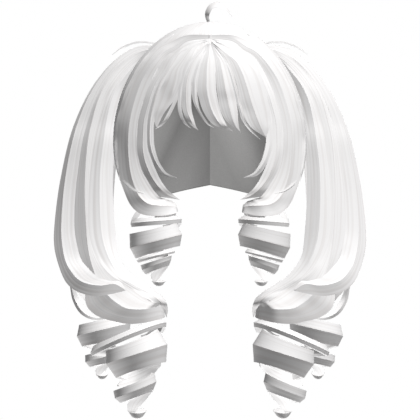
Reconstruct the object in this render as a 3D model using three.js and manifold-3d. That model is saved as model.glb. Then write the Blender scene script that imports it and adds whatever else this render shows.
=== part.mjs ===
// A white pigtail wig: a cap that fits the head, a dome of crown hair with a swept fringe and
// face-framing side locks, and two pigtails that end in ringlet curls.
// Sizes are millimetres. The origin is where the crown of the head meets the cap, +Z is up and
// the face looks along -Y. Paired pieces are modelled on the -X side and mirrored.

import * as THREE from "three";
import { mergeVertices } from "three/addons/utils/BufferGeometryUtils.js";
import Module from "manifold-3d";

const wasm = await Module();
wasm.setup();

// Egg-shaped forms: half sizes of the widest level section, and how far they reach from it.
const HEAD = { halfWidth: 79, halfLength: 98, widestZ: -100, reachUp: 100, reachDown: 160 };
const HAIR = { halfWidth: 115.5, halfLength: 121, widestZ: -128, reachUp: 144, reachDown: 122 };

const CAP_WALL = 2;
const GAP = 0.3; // clearance between cap and crown hair
const SEAT_GAP = 0.5; // how far a lock is swelled to cut its seat in a neighbour
const SHELL_STEPS = 7;
const RIM_POLAR = THREE.MathUtils.degToRad(128);

// Nape edge of cap and crown hair, seen from behind: a shallow point up in the middle.
const NAPE = { midZ: -183, sideX: 60, sideZ: -194, hairDrop: 4 };

// Front edges seen from the side, as the height where each crosses a depth.
const CAP_FRONT = [
  { y: -140, z: -44 },
  { y: -84, z: -46 },
  { y: -62, z: -74 },
  { y: -44, z: -120 },
  { y: -28, z: -170 },
  { y: -18, z: -240 },
];
const CROWN_FRONT = [
  { y: -140, z: 2 },
  { y: -57, z: 0 },
  { y: -58, z: -28 },
  { y: -52, z: -80 },
  { y: -38, z: -130 },
  { y: -14, z: -170 },
  { y: 6, z: -240 },
];
const FRONT_EDGE_POINTS = 12;

// Locks combed over the crown hair: how many show round the dome and how deep their valleys are.
const CROWN_LOCKS = 16;
const CROWN_VALLEY = 3.5;
const SHELL_SEGMENTS = 2 * CROWN_LOCKS;

// Outlines across a lock as [across, out] shares of its width and thickness, ridge first.
const LOCK_SECTION = [
  [0.04, 1],
  [0.36, 0.62],
  [0.5, 0.1],
  [0, -0.06],
  [-0.5, 0.1],
  [-0.34, 0.64],
];
const RIBBON_SECTION = [
  [0, 1],
  [0.5, 0.45],
  [0.42, 0],
  [-0.42, 0],
  [-0.5, 0.45],
];
const STRAND_SECTION = [
  [0, 1],
  [0.5, 0.5],
  [0, 0],
  [-0.5, 0.5],
];
const ROUND_SIDES = 6;
const ROUND_SECTION = Array.from({ length: ROUND_SIDES }, (_, i) => {
  const angle = (i / ROUND_SIDES) * 2 * Math.PI;
  return [0.5 * Math.sin(angle), 0.5 + 0.5 * Math.cos(angle)];
});

// Locks that lie on the hair's egg, each as its places in the front view from root to tip.
const FRINGE_INSET = -11;
const FRINGE_STEPS = 7;
const FRINGE = [
  { x: [-7, -42, -55, -60], z: [-6, -46, -82, -107], width: 36, thickness: 9 },
  { x: [-4, -25, -32, -20], z: [-6, -56, -84, -107], width: 13, thickness: 9 },
  { x: [-3, -20, -23, -12], z: [-6, -58, -88, -109], width: 13, thickness: 11 },
  { x: [-2, -13, -12, 6], z: [-6, -58, -88, -106], width: 13, thickness: 9 },
  { x: [0, -2, 4, 26], z: [-6, -58, -87, -110], width: 24, thickness: 12 },
  { x: [3, 14, 20, 35], z: [-6, -56, -84, -112], width: 20, thickness: 11 },
  { x: [5, 26, 37, 56], z: [-6, -54, -88, -119], width: 13, thickness: 9 },
  { x: [7, 41, 54, 63], z: [-6, -44, -78, -116], width: 38, thickness: 9 },
];
const SIDE_INSET = -5;
const SIDE_STEPS = 7;
const CHEEKS = [
  { x: [-16, -58, -68, -61, -38], z: [4, -46, -108, -137, -163], width: 18, thickness: 10 },
  { x: [-20, -68, -78, -67, -35], z: [4, -46, -116, -155, -188], width: 26, thickness: 11 },
];
const WISP_INSET = 0.6;
const WISP = { x: [-62, -103, -111, -103, -75], z: [-14, -80, -128, -160, -182], width: 9, thickness: 6 };

// Side lock that sweeps down past the cheek and wraps the top of its curl.
const SIDE_SWEEP_STEPS = 13;
const SIDE_SWEEP = [
  { x: -24, y: -48, z: 0, width: 18, thickness: 8 },
  { x: -66, y: -56, z: -30, width: 30, thickness: 11 },
  { x: -90, y: -52, z: -80, width: 38, thickness: 13 },
  { x: -94, y: -48, z: -122, width: 42, thickness: 14 },
  { x: -89, y: -52, z: -156, width: 44, thickness: 14 },
  { x: -81, y: -60, z: -177, width: 40, thickness: 13 },
  { x: -70, y: -68, z: -190, width: 32, thickness: 12 },
  { x: -56, y: -71, z: -197, width: 26, thickness: 10 },
  { x: -46, y: -63, z: -201, width: 22, thickness: 8 },
  { x: -44, y: -50, z: -204, width: 15, thickness: 6 },
];
const SIDE_TURN_Z = { from: -150, to: -195 }; // where it stops facing off the head, then off the curl

// Curls. Each row is the ribbon as it passes the front of the curl: turn, height of its middle,
// outer radius, ribbon width and how far its loop stands off the axis in X.
const CURL_STEPS_PER_TURN = 8;
const SIDE_CURL = {
  axisX: -63,
  axisY: -55,
  thickness: 9,
  turns: [
    { turn: 0.1, z: -210, radius: 20, width: 16, shiftX: 0 },
    { turn: 1, z: -239, radius: 31, width: 33, shiftX: 0 },
    { turn: 2, z: -266, radius: 20, width: 18, shiftX: 0 },
    { turn: 3, z: -284, radius: 9, width: 14, shiftX: 0 },
    { turn: 3.45, z: -290, radius: 6, width: 5, shiftX: 0 },
  ],
  strand: [
    { turn: 0.6, z: -213, radius: 22, width: 7, shiftX: 0 },
    { turn: 0.75, z: -217, radius: 30, width: 9, shiftX: 0 },
    { turn: 1.25, z: -221, radius: 30, width: 9, shiftX: 0 },
    { turn: 2, z: -256, radius: 24, width: 7, shiftX: 0 },
    { turn: 2.5, z: -272, radius: 15, width: 4, shiftX: 0 },
  ],
};
const FRONT_CURL = {
  axisX: -88,
  axisY: 5,
  thickness: 11,
  turns: [
    { turn: 0.1, z: -342, radius: 26, width: 24, shiftX: 0 },
    { turn: 1, z: -382, radius: 37, width: 46, shiftX: 0 },
    { turn: 2, z: -427, radius: 25, width: 30, shiftX: 0 },
    { turn: 3, z: -454, radius: 11, width: 20, shiftX: 0 },
    { turn: 3.5, z: -462, radius: 8, width: 6, shiftX: 0 },
  ],
  strand: [
    { turn: 0.4, z: -338, radius: 26, width: 7, shiftX: 0 },
    { turn: 0.75, z: -345, radius: 36, width: 9, shiftX: 0 },
    { turn: 1, z: -358, radius: 42, width: 10, shiftX: -6 },
    { turn: 1.25, z: -381, radius: 46, width: 8, shiftX: -8 },
    { turn: 1.55, z: -406, radius: 32, width: 5, shiftX: 0 },
  ],
};
const BACK_CURL = {
  axisX: -133,
  axisY: 64,
  thickness: 10,
  turns: [
    { turn: 0.1, z: -340, radius: 24, width: 20, shiftX: 0 },
    { turn: 1, z: -366, radius: 33, width: 34, shiftX: 0 },
    { turn: 2, z: -400, radius: 22, width: 20, shiftX: 0 },
    { turn: 3, z: -421, radius: 9, width: 15, shiftX: 0 },
    { turn: 3.45, z: -427, radius: 6, width: 5, shiftX: 0 },
  ],
  strand: [],
};

// Pigtail bundle from its root on the crown hair down to where its locks part for the curls.
const PIGTAIL_STEPS = 11;
const PIGTAIL_CORE_STEPS = 8;
const PIGTAIL_SPINE = [
  { x: -40, y: 38, z: -14, halfWidth: 12, halfDepth: 12 },
  { x: -80, y: 50, z: -30, halfWidth: 19, halfDepth: 17 },
  { x: -115, y: 51, z: -70, halfWidth: 25, halfDepth: 21 },
  { x: -137, y: 48, z: -118, halfWidth: 30, halfDepth: 24 },
  { x: -149, y: 43, z: -178, halfWidth: 34, halfDepth: 26 },
  { x: -152, y: 38, z: -236, halfWidth: 36, halfDepth: 27 },
];
const PIGTAIL_CORE_END = { x: -134, y: 30, z: -300, halfWidth: 20, halfDepth: 18 };
const PIGTAIL_CORE_SHARE = 0.72;
const PIGTAIL_TURN_Z = { from: -300, to: -326 }; // where a lock stops facing off the bundle
// Locks on the bundle: where each runs across (-1 outer to 1 inner) and through it (-1 front to
// 1 back), and its own sweep below the bundle, with its width there as a share of its full width.
const PIGTAIL_LOCKS = [
  {
    curl: FRONT_CURL,
    across: -0.66,
    depth: -0.45,
    width: 38,
    thickness: 15,
    section: LOCK_SECTION,
    sweep: [
      { x: -172, y: 18, z: -262, share: 1 },
      { x: -157, y: 7, z: -286, share: 0.95 },
      { x: -130, y: -5, z: -297, share: 0.75 },
      { x: -103, y: -22, z: -300, share: 0.12 },
    ],
  },
  {
    curl: FRONT_CURL,
    across: 0.08,
    depth: -0.75,
    width: 40,
    thickness: 15,
    section: LOCK_SECTION,
    sweep: [
      { x: -142, y: 19, z: -272, share: 1 },
      { x: -119, y: 6, z: -306, share: 1.15 },
      { x: -98, y: -12, z: -319, share: 1.05 },
      { x: -78, y: -18, z: -323, share: 0.8 },
      { x: -64, y: -8, z: -325, share: 0.6 },
      { x: -59, y: 10, z: -331, share: 0.35 },
    ],
  },
  {
    curl: FRONT_CURL,
    across: 0.45,
    depth: -0.45,
    width: 34,
    thickness: 14,
    section: LOCK_SECTION,
    sweep: [
      { x: -128, y: 20, z: -268, share: 1 },
      { x: -109, y: 10, z: -292, share: 0.95 },
      { x: -82, y: 0, z: -309, share: 0.85 },
      { x: -65, y: 8, z: -321, share: 0.6 },
      { x: -60, y: 24, z: -334, share: 0.35 },
    ],
  },
  {
    curl: FRONT_CURL,
    across: 0.4,
    depth: 0.55,
    width: 44,
    thickness: 15,
    section: LOCK_SECTION,
    sweep: [
      { x: -128, y: 44, z: -276, share: 1 },
      { x: -108, y: 34, z: -310, share: 0.8 },
      { x: -82, y: 28, z: -328, share: 0.6 },
      { x: -66, y: 20, z: -336, share: 0.3 },
    ],
  },
  {
    curl: BACK_CURL,
    across: -0.4,
    depth: 0.55,
    width: 44,
    thickness: 15,
    section: LOCK_SECTION,
    sweep: [
      { x: -156, y: 50, z: -280, share: 1 },
      { x: -149, y: 64, z: -316, share: 0.8 },
      { x: -134, y: 80, z: -334, share: 0.55 },
      { x: -119, y: 72, z: -342, share: 0.3 },
    ],
  },
  {
    curl: BACK_CURL,
    across: -0.7,
    depth: 0.1,
    width: 11,
    thickness: 7,
    section: STRAND_SECTION,
    sweep: [
      { x: -168, y: 42, z: -290, share: 0.9 },
      { x: -165, y: 44, z: -318, share: 0.8 },
      { x: -156, y: 38, z: -336, share: 0.7 },
      { x: -136, y: 31, z: -344, share: 0.6 },
      { x: -119, y: 35, z: -339, share: 0.4 },
    ],
  },
];

// Stray loop that stands up from the crown.
const SPRIG_STEPS = 11;
const SPRIG_FACING = new THREE.Vector3(0.3, -1, 0.2);
const SPRIG = [
  { x: 1, y: -4, z: 12, width: 3.5, thickness: 3 },
  { x: -5.5, y: -5, z: 20, width: 6.5, thickness: 4 },
  { x: -5.5, y: -6, z: 28, width: 8, thickness: 4.5 },
  { x: 2, y: -7, z: 35, width: 9, thickness: 4.5 },
  { x: 14, y: -8, z: 36, width: 8, thickness: 4 },
  { x: 23, y: -8, z: 31, width: 5, thickness: 3 },
  { x: 28, y: -8, z: 23, width: 1.2, thickness: 1 },
];

// Materials
const HAIR_WHITE = new THREE.MeshStandardMaterial({ color: 0xf3f1f0, roughness: 0.42, metalness: 0 });
const CAP_GREY = new THREE.MeshStandardMaterial({ color: 0x9b9a99, roughness: 0.85, metalness: 0 });

// Solids

// A closed three.js geometry as a solid, with every vertex moved to place(vertex).
function solidFrom(geometry, place = (p) => p) {
  geometry.deleteAttribute("normal");
  geometry.deleteAttribute("uv");
  const merged = mergeVertices(geometry, 1e-4);
  const position = merged.getAttribute("position");
  const point = new THREE.Vector3();
  for (let i = 0; i < position.count; i++) {
    const moved = place(point.fromBufferAttribute(position, i));
    position.setXYZ(i, moved.x, moved.y, moved.z);
  }
  const corners = merged.index.array;
  const triVerts = [];
  for (let i = 0; i < corners.length; i += 3) {
    const [a, b, c] = corners.slice(i, i + 3);
    if (a !== b && b !== c && c !== a) triVerts.push(a, b, c);
  }
  const mesh = { numProp: 3, vertProperties: position.array, triVerts: new Uint32Array(triVerts) };
  return new wasm.Manifold(new wasm.Mesh(mesh));
}

function geometryOf(solid) {
  const { vertProperties, triVerts } = solid.getMesh();
  const geometry = new THREE.BufferGeometry();
  geometry.setAttribute("position", new THREE.BufferAttribute(vertProperties, 3));
  geometry.setIndex(new THREE.BufferAttribute(triVerts, 1));
  return geometry;
}

const joined = (solids) => solids.reduce((a, b) => a.add(b));
const cutBy = (solid, cutters) => cutters.reduce((a, b) => a.subtract(b), solid);

// The main body of a piece, without the slivers that a cut leaves behind.
const mainBody = (solid) => solid.decompose().reduce((a, b) => (a.volume() > b.volume() ? a : b));

// Value of one column of a table at a place along another, straight between its rows.
function tableValue(rows, key, at, column) {
  const last = rows.length - 1;
  const next = Math.min(last, Math.max(1, rows.findIndex((row) => row[key] >= at)));
  const upper = at >= rows[last][key] ? last : next;
  const [a, b] = [rows[upper - 1], rows[upper]];
  return THREE.MathUtils.mapLinear(at, a[key], b[key], a[column], b[column]);
}

// Value of one column at a share of the table's length, its rows evenly spaced.
function rowValue(rows, share, column) {
  const place = share * (rows.length - 1);
  const row = Math.min(rows.length - 2, Math.floor(place));
  return THREE.MathUtils.lerp(rows[row][column], rows[row + 1][column], place - row);
}

function curveThrough(rows) {
  const points = rows.map(({ x, y, z }) => new THREE.Vector3(x, y, z));
  return new THREE.CatmullRomCurve3(points, false, "centripetal");
}

// Eggs

const reachAt = (egg, z) => (z > egg.widestZ ? egg.reachUp : egg.reachDown);

// Point of an egg at a polar angle from the crown and an azimuth from the face towards +X.
function eggPoint(egg, polar, azimuth, grow = 0) {
  const reach = polar < Math.PI / 2 ? egg.reachUp : egg.reachDown;
  const level = Math.sin(polar);
  return new THREE.Vector3(
    (egg.halfWidth + grow) * level * Math.sin(azimuth),
    -(egg.halfLength + grow) * level * Math.cos(azimuth),
    egg.widestZ + (reach + grow) * Math.cos(polar),
  );
}

// Outward direction of the hair's egg at a point on or near it.
const eggNormal = (p) =>
  new THREE.Vector3(
    p.x / HAIR.halfWidth ** 2,
    p.y / HAIR.halfLength ** 2,
    (p.z - HAIR.widestZ) / reachAt(HAIR, p.z) ** 2,
  ).normalize();

// Level direction from a curl's axis to a point.
const awayFrom = ({ axisX, axisY }, p) => new THREE.Vector3(p.x - axisX, p.y - axisY, 0).normalize();

// Open-bottomed shell between two eggs, from a lathed disc whose radius is the way down from
// the crown.
function eggShell(inside, outside) {
  const across = Array.from({ length: SHELL_STEPS + 1 }, (_, i) => i / SHELL_STEPS);
  const under = across.map((share) => new THREE.Vector2(share, 0));
  const over = across.map((share) => new THREE.Vector2(share, 1));
  const disc = new THREE.LatheGeometry([...under, ...over.reverse()], SHELL_SEGMENTS);
  return solidFrom(disc, (p) => {
    const polar = Math.hypot(p.x, p.z) * RIM_POLAR;
    const azimuth = Math.atan2(p.x, p.z);
    return p.y > 0.5 ? outside(polar, azimuth) : inside(polar, azimuth);
  });
}

// Everything in front of a front edge that is given from the side.
function frontCutter(rows, back = 0) {
  const edge = new THREE.SplineCurve(rows.map((row) => new THREE.Vector2(row.y + back, row.z)));
  const outline = edge.getPoints(FRONT_EDGE_POINTS);
  const low = rows[rows.length - 1].z;
  outline.push(new THREE.Vector2(rows[0].y, low));
  return crossExtrusion(outline, new THREE.Vector3(0, 1, 0), new THREE.Vector3(1, 0, 0));
}

// Everything below the nape edge.
function napeCutter(drop) {
  const { midZ, sideX, sideZ } = NAPE;
  const far = 2 * HAIR.halfWidth;
  const outline = [
    [0, midZ - drop],
    [-sideX, sideZ - drop],
    [-far, sideZ - drop],
    [-far, 2 * sideZ],
    [far, 2 * sideZ],
    [far, sideZ - drop],
    [sideX, sideZ - drop],
  ].map(([x, z]) => new THREE.Vector2(x, z));
  return crossExtrusion(outline, new THREE.Vector3(1, 0, 0), new THREE.Vector3(0, -1, 0));
}

// An outline drawn on (side, up) and extruded right across the wig along depth.
function crossExtrusion(outline, side, depth) {
  const length = 4 * HAIR.halfLength;
  const shape = new THREE.Shape(outline);
  const geometry = new THREE.ExtrudeGeometry(shape, { depth: length, bevelEnabled: false });
  geometry.translate(0, 0, -length / 2);
  geometry.applyMatrix4(new THREE.Matrix4().makeBasis(side, new THREE.Vector3(0, 0, 1), depth));
  return solidFrom(geometry);
}

// Locks

// Position, across and outward directions of a path at a share of its length.
function stationAt(path, outward, share) {
  const step = 0.004;
  const point = path(share);
  const along = path(Math.min(1, share + step)).sub(path(Math.max(0, share - step))).normalize();
  const out = outward(point, share).projectOnPlane(along).normalize();
  return { point, along, out, across: out.clone().cross(along) };
}

// A lock of hair swept along a path; grow swells it evenly, to cut a seat in its neighbour.
function lock({ path, outward, width, thickness, section, steps, grow = 0 }) {
  const sides = section.length;
  const rod = new THREE.CylinderGeometry(1, 1, 1, sides, steps);
  return solidFrom(rod, (p) => {
    const share = 0.5 - p.y;
    const { point, along, out, across } = stationAt(path, outward, share);
    const side = Math.round((Math.atan2(p.x, p.z) / (2 * Math.PI)) * sides + sides) % sides;
    const [acrossShare, outShare] = Math.hypot(p.x, p.z) > 0.5 ? section[side] : [0, 0.4];
    const end = share === 0 ? -grow : share === 1 ? grow : 0;
    return point
      .clone()
      .addScaledVector(across, acrossShare * (width(share) + 2 * grow))
      .addScaledVector(out, outShare * (thickness(share) + 2 * grow) - grow)
      .addScaledVector(along, end);
  });
}

// Width of a free lock along its length: narrow root, full belly, fine tip.
function belly(share) {
  const root = 0.35;
  const fullest = 0.5;
  const tip = 0.07;
  return share < fullest
    ? THREE.MathUtils.lerp(root, 1, Math.sin((share / fullest) * (Math.PI / 2)))
    : THREE.MathUtils.lerp(1, tip, ((share - fullest) / (1 - fullest)) ** 1.6);
}

// A lock that lies on the hair's egg.
function eggLock(row, inset, steps, grow) {
  const polarAt = (z) => Math.acos((z - HAIR.widestZ) / (reachAt(HAIR, z) + inset));
  const chart = new THREE.SplineCurve(row.x.map((x, i) => new THREE.Vector2(x, polarAt(row.z[i]))));
  const path = (share) => {
    const { x, y: polar } = chart.getPoint(share);
    const halfWidth = (HAIR.halfWidth + inset) * Math.sin(polar);
    return eggPoint(HAIR, polar, Math.asin(THREE.MathUtils.clamp(x / halfWidth, -1, 1)), inset);
  };
  return lock({
    path,
    outward: eggNormal,
    width: (share) => row.width * belly(share),
    thickness: (share) => row.thickness * Math.sqrt(belly(share)),
    section: LOCK_SECTION,
    steps,
    grow,
  });
}

// A lock through the rows of a table, facing away from a centre line.
function tableLock(rows, outward, section, steps, grow = 0) {
  const curve = curveThrough(rows);
  return lock({
    path: (share) => curve.getPoint(share),
    outward,
    width: (share) => rowValue(rows, share, "width"),
    thickness: (share) => rowValue(rows, share, "thickness"),
    section,
    steps,
    grow,
  });
}

// A ribbon wound down an upright axis. On the front of a -X curl it runs down towards -X.
function winding({ axisX, axisY }, rows, thickness, section, grow) {
  const first = rows[0].turn;
  const span = rows[rows.length - 1].turn - first;
  const turnAt = (share) => first + share * span;
  const forward = new THREE.Vector3(0, -1, 0);
  const up = new THREE.Vector3(0, 0, 1);
  const radial = (turn) => forward.clone().applyAxisAngle(up, -2 * Math.PI * turn);
  const value = (share, column) => tableValue(rows, "turn", turnAt(share), column);
  const depth = (share) => Math.min(thickness, 0.5 * value(share, "radius"), 0.6 * value(share, "width"));
  return lock({
    path: (share) =>
      radial(turnAt(share))
        .multiplyScalar(value(share, "radius") - depth(share))
        .add(new THREE.Vector3(axisX + value(share, "shiftX"), axisY, value(share, "z"))),
    outward: (_, share) => radial(turnAt(share)),
    width: (share) => value(share, "width"),
    thickness: depth,
    section,
    steps: Math.round(span * CURL_STEPS_PER_TURN),
    grow,
  });
}

// Turns a lock from one way of facing to another as it comes down past two heights.
const turningFrom = (first, second, { from, to }) => (p) =>
  first(p).lerp(second(p), THREE.MathUtils.smoothstep(-p.z, -from, -to));

// Pieces

const capSurface = (grow) => (polar, azimuth) => eggPoint(HEAD, polar, azimuth, grow);

function cap() {
  const shell = eggShell(capSurface(0), capSurface(CAP_WALL));
  return cutBy(shell, [frontCutter(CAP_FRONT), napeCutter(0)]);
}

// The dome's outer surface, with valleys between the locks that run down from the crown.
const crownSurface = (grow) => (polar, azimuth) => {
  const fade = Math.sin(Math.min(polar, Math.PI / 2)) ** 2;
  const valley = CROWN_VALLEY * fade * Math.sin((azimuth * CROWN_LOCKS) / 2) ** 2;
  return eggPoint(HAIR, polar, azimuth, grow - valley);
};

function crownHair(grow = 0) {
  const inside = capSurface(CAP_WALL + GAP - grow);
  const shell = eggShell(inside, crownSurface(grow));
  return cutBy(shell, [frontCutter(CROWN_FRONT, -grow), napeCutter(NAPE.hairDrop + grow)]);
}

// The room of the head and cap, which no lock enters.
function headRoom() {
  const centre = new THREE.Vector3(0, 0, HEAD.widestZ);
  return eggShell(() => centre, capSurface(CAP_WALL + GAP));
}

function fringe() {
  return joined(FRINGE.map((row) => eggLock(row, FRINGE_INSET, FRINGE_STEPS)));
}

function sideLock(grow = 0) {
  const facing = turningFrom(eggNormal, (p) => awayFrom(SIDE_CURL, p), SIDE_TURN_Z);
  const sweep = tableLock(SIDE_SWEEP, facing, LOCK_SECTION, SIDE_SWEEP_STEPS, grow);
  const cheeks = CHEEKS.map((row) => eggLock(row, SIDE_INSET, SIDE_STEPS, grow));
  const wisp = eggLock(WISP, WISP_INSET, SIDE_STEPS, grow);
  return joined([sweep, ...cheeks, wisp]);
}

function curl(form, grow = 0) {
  const ribbon = winding(form, form.turns, form.thickness, RIBBON_SECTION, grow);
  if (form.strand.length === 0) return ribbon;
  return ribbon.add(winding(form, form.strand, form.thickness, STRAND_SECTION, grow));
}

// One lock of the pigtail, offset from the spine and then swept to its own end.
function pigtailLock({ curl: axis, across, depth, width, thickness, section, sweep }, grow) {
  const fullest = PIGTAIL_SPINE[PIGTAIL_SPINE.length - 1].halfWidth;
  const onBundle = PIGTAIL_SPINE.map(({ x, y, z, halfWidth, halfDepth }) => ({
    x: x + across * halfWidth,
    y: y + depth * halfDepth,
    z,
    share: halfWidth / fullest,
  }));
  const rows = [...onBundle, ...sweep].map(({ x, y, z, share }) => ({
    x,
    y,
    z,
    width: width * share,
    thickness: thickness * Math.min(1, share),
  }));
  const offBundle = () => new THREE.Vector3(across, depth, 0).normalize();
  const facing = turningFrom(offBundle, (p) => awayFrom(axis, p), PIGTAIL_TURN_Z);
  return tableLock(rows, facing, section, PIGTAIL_STEPS, grow);
}

// The round middle of the bundle, which fills it between its locks.
function pigtailCore(grow) {
  const rows = [...PIGTAIL_SPINE, PIGTAIL_CORE_END].map(({ x, y, z, halfWidth, halfDepth }) => ({
    x,
    y: y + PIGTAIL_CORE_SHARE * halfDepth,
    z,
    width: 2 * PIGTAIL_CORE_SHARE * halfWidth,
    thickness: 2 * PIGTAIL_CORE_SHARE * halfDepth,
  }));
  const forward = () => new THREE.Vector3(0, -1, 0);
  return tableLock(rows, forward, ROUND_SECTION, PIGTAIL_CORE_STEPS, grow);
}

function pigtail(grow = 0) {
  return joined([pigtailCore(grow), ...PIGTAIL_LOCKS.map((row) => pigtailLock(row, grow))]);
}

function sprig() {
  return tableLock(SPRIG, () => SPRIG_FACING.clone(), LOCK_SECTION, SPRIG_STEPS);
}

// Assembly

function mirrored(solid) {
  const geometry = geometryOf(solid).scale(-1, 1, 1);
  const corners = geometry.index.array;
  for (let i = 0; i < corners.length; i += 3) {
    [corners[i], corners[i + 1]] = [corners[i + 1], corners[i]];
  }
  return solidFrom(geometry);
}

const wig = new THREE.Group();

function addPiece(name, solid, material) {
  const mesh = new THREE.Mesh(geometryOf(mainBody(solid)), material);
  mesh.name = name;
  wig.add(mesh);
}

function addPair(name, solid) {
  addPiece(`${name}_left`, solid, HAIR_WHITE);
  addPiece(`${name}_right`, mirrored(solid), HAIR_WHITE);
}

const crownSeat = crownHair(SEAT_GAP);
const headSeat = headRoom();
const sideSeat = sideLock(SEAT_GAP);
const sideSeats = [sideSeat, mirrored(sideSeat)];
const pigtailSeat = pigtail(SEAT_GAP);
const frontCurlSeat = curl(FRONT_CURL, SEAT_GAP);

addPiece("cap", cap(), CAP_GREY);
addPiece("crown_hair", crownHair(), HAIR_WHITE);
addPiece("fringe", cutBy(fringe(), [crownSeat, headSeat, ...sideSeats]), HAIR_WHITE);
addPiece("crown_sprig", cutBy(sprig(), [crownSeat]), HAIR_WHITE);
addPair("side_lock", cutBy(sideLock(), [crownSeat, headSeat]));
addPair("side_curl", cutBy(curl(SIDE_CURL), [sideSeat]));
addPair("pigtail", cutBy(pigtail(), [crownSeat]));
addPair("front_curl", cutBy(curl(FRONT_CURL), [pigtailSeat]));
addPair("back_curl", cutBy(curl(BACK_CURL), [pigtailSeat, frontCurlSeat]));

export default wig;
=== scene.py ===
# A white pigtail wig: cap, crown hair, fringe, side locks, pigtails and ringlet curls.
# Sizes are millimetres in the part's frame: crown of the head at the origin, face along -Y. Where a
# place is given in pixels of the photograph, the camera sets it into the frame at a depth along Y.
# Paired pieces are modelled on the -X side and mirrored.

import math
import random

import bmesh
import bpy
from mathutils import Matrix, Vector


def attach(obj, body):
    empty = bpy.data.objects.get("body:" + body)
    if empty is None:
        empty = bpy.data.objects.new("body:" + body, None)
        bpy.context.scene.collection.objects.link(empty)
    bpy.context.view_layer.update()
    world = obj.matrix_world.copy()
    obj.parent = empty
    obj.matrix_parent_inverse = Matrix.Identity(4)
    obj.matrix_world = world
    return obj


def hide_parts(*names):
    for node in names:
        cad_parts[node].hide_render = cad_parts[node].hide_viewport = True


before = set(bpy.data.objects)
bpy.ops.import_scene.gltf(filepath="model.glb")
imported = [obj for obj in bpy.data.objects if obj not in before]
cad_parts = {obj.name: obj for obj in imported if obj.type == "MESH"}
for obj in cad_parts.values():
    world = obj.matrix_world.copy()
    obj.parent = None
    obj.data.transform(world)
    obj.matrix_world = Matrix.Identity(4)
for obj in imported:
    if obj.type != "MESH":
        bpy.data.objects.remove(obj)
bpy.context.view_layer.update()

MM = 0.001
UV_SCALE = 0.1  # texture units for each millimetre

# Camera: level of its aim, distance, height above the horizon and width of view at the aim.
CAMERA_AIM_Z = -208
CAMERA_DISTANCE = 1600
CAMERA_ELEVATION = math.radians(5)
CAMERA_VIEW_WIDTH = 504
PICTURE_MIDDLE = 210  # pixels, across and down
EYE_Z = CAMERA_AIM_Z + CAMERA_DISTANCE * math.sin(CAMERA_ELEVATION)
SENSOR_WIDTH = 36

KEY_FROM = Vector((0.33, -0.4, 0.82))
KEY_STRENGTH = 3.75
COUNTER_FROM = Vector((-0.1, 0.29, -0.7))
COUNTER_STRENGTH = 2.95
SUN_SOFTNESS = math.radians(10)
WORLD_STRENGTH = 0.235
FLOOR_RADIUS = 8000
FLOOR_Z = -620

# Starts of the random draws.
SEED = {
    "crown": 7, "fringe": 20, "side": 40, "core": 60, "tail_back": 61, "tail_front": 70, "sprig": 80,
    "side_curl": 100, "front_curl": 110, "back_curl": 120,
}

# Egg-shaped forms: half sizes of the widest level section, and how far they reach from it.
HEAD = {"half_width": 79, "half_length": 98, "widest_z": -100, "reach_up": 100, "reach_down": 160}
HAIR = {"half_width": 115.5, "half_length": 121, "widest_z": -128, "reach_up": 144, "reach_down": 122}
CAP_WALL = 2
HAIR_GAP = 0.3
NAPE = {"mid_z": -183, "side_x": 60, "side_z": -194, "hair_drop": 0.8}

# Front edges seen from the side, as y, z.
CAP_FRONT = [(-140, -44), (-84, -46), (-62, -74), (-44, -120), (-28, -170), (-18, -240)]
CROWN_FRONT = [
    (-140, 2), (-58, -1), (-52, -2.5), (-49.5, -9), (-43.5, -14.5), (-46.5, -30), (-48, -53),
    (-50, -76), (-47, -99.5), (-45.5, -122.5), (-43.5, -146), (-30, -158), (-12, -178), (6, -240),
]
CROWN_LINING_FRONT = [(-140, 2), (-64, -1), (-64, -14), (-58, -22), (-50, -34), *CROWN_FRONT[6:]]

# Locks combed over the dome, with valleys between them: smooth at the front, under the other pieces.
CROWN_LOCKS = 22
CROWN_LOCK_COLUMNS = 12
CROWN_RINGS = 44
CROWN_VALLEY = 3.5
CROWN_FULLNESS = 0.8
CROWN_RIDGE = 0.45
CROWN_GROOVES = (0, 0, 0.5)
CROWN_SMOOTH_FRONT = (math.radians(95), math.radians(125))

CAP_COLUMNS = 180
CAP_RINGS = 36
# Steps of the cap's and the crown's shells, which leave a pinhole at the top, and of the search for rims.
SHELL_EASE = 1.5
SHELL_PINHOLE = 0.004
SHELL_STRANDS = (90, 240)
RIM_STEP = math.radians(1)
RIM_LOWEST = math.radians(150)
RIM_HALVINGS = 12

# Painted shade on the cap's net: its two halves meet at a seam in the middle, and each carries painted shade
# along a slope that runs up and out from the seam, from its inner end to its outer one. The left half is
# painted darker than the right, standing in for the light and shade inside the cap.
CAP_SHADE_SLOPE = {"rise": 0.45, "level": -140, "inner": -10, "outer": 80}
CAP_LEFT_PAINTED_SHADE = [(0, 0.18), (0.26, 0.225), (0.53, 0.232), (0.7, 0.195), (0.81, 0.275), (0.95, 0.33)]
CAP_RIGHT_PAINTED_SHADE = [(0, 0.274), (0.27, 0.357), (0.39, 0.45), (0.62, 0.68), (0.7, 0.74), (0.9, 0.75)]
NET_CELLS = 700  # across a metre
NET_THREADS = [(0, (1, 1, 1, 1)), (0.3, (0.86, 0.86, 0.86, 1))]

# Locks: points over the front and under it, shares of a section, and steps along rows.
FRONT_COLUMNS = 29
UNDER_COLUMNS = 9
LOCK_EDGE = 0.1
LOCK_ROUNDING = 0.38
LOCK_UNDERSIDE = -0.06
LOCK_LEAST = 0.3
UNDERSIDE_BULGE = 0.3
UNDERSIDE_LEAST = 0.04
RIDGE_SHARES = (0.05, 0.95)  # how near the ridge comes to the right and the left edge
RING_SPACING = 2.4
LEAST_RINGS = 8
ROW_STEPS = 14
DEPTH_STEPS = 30
# Fine grooves between strands: how many, how deep, and where along a lock they fade in and out.
GROOVES = 6
GROOVE_DEPTH = (0.08, 0.2)
GROOVE_OF_WIDTH = 0.05
GROOVE_OF_THICKNESS = 0.06
GROOVE_FADE = (0.15, 0.8)
STRAND_SHIFT = 40

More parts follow.
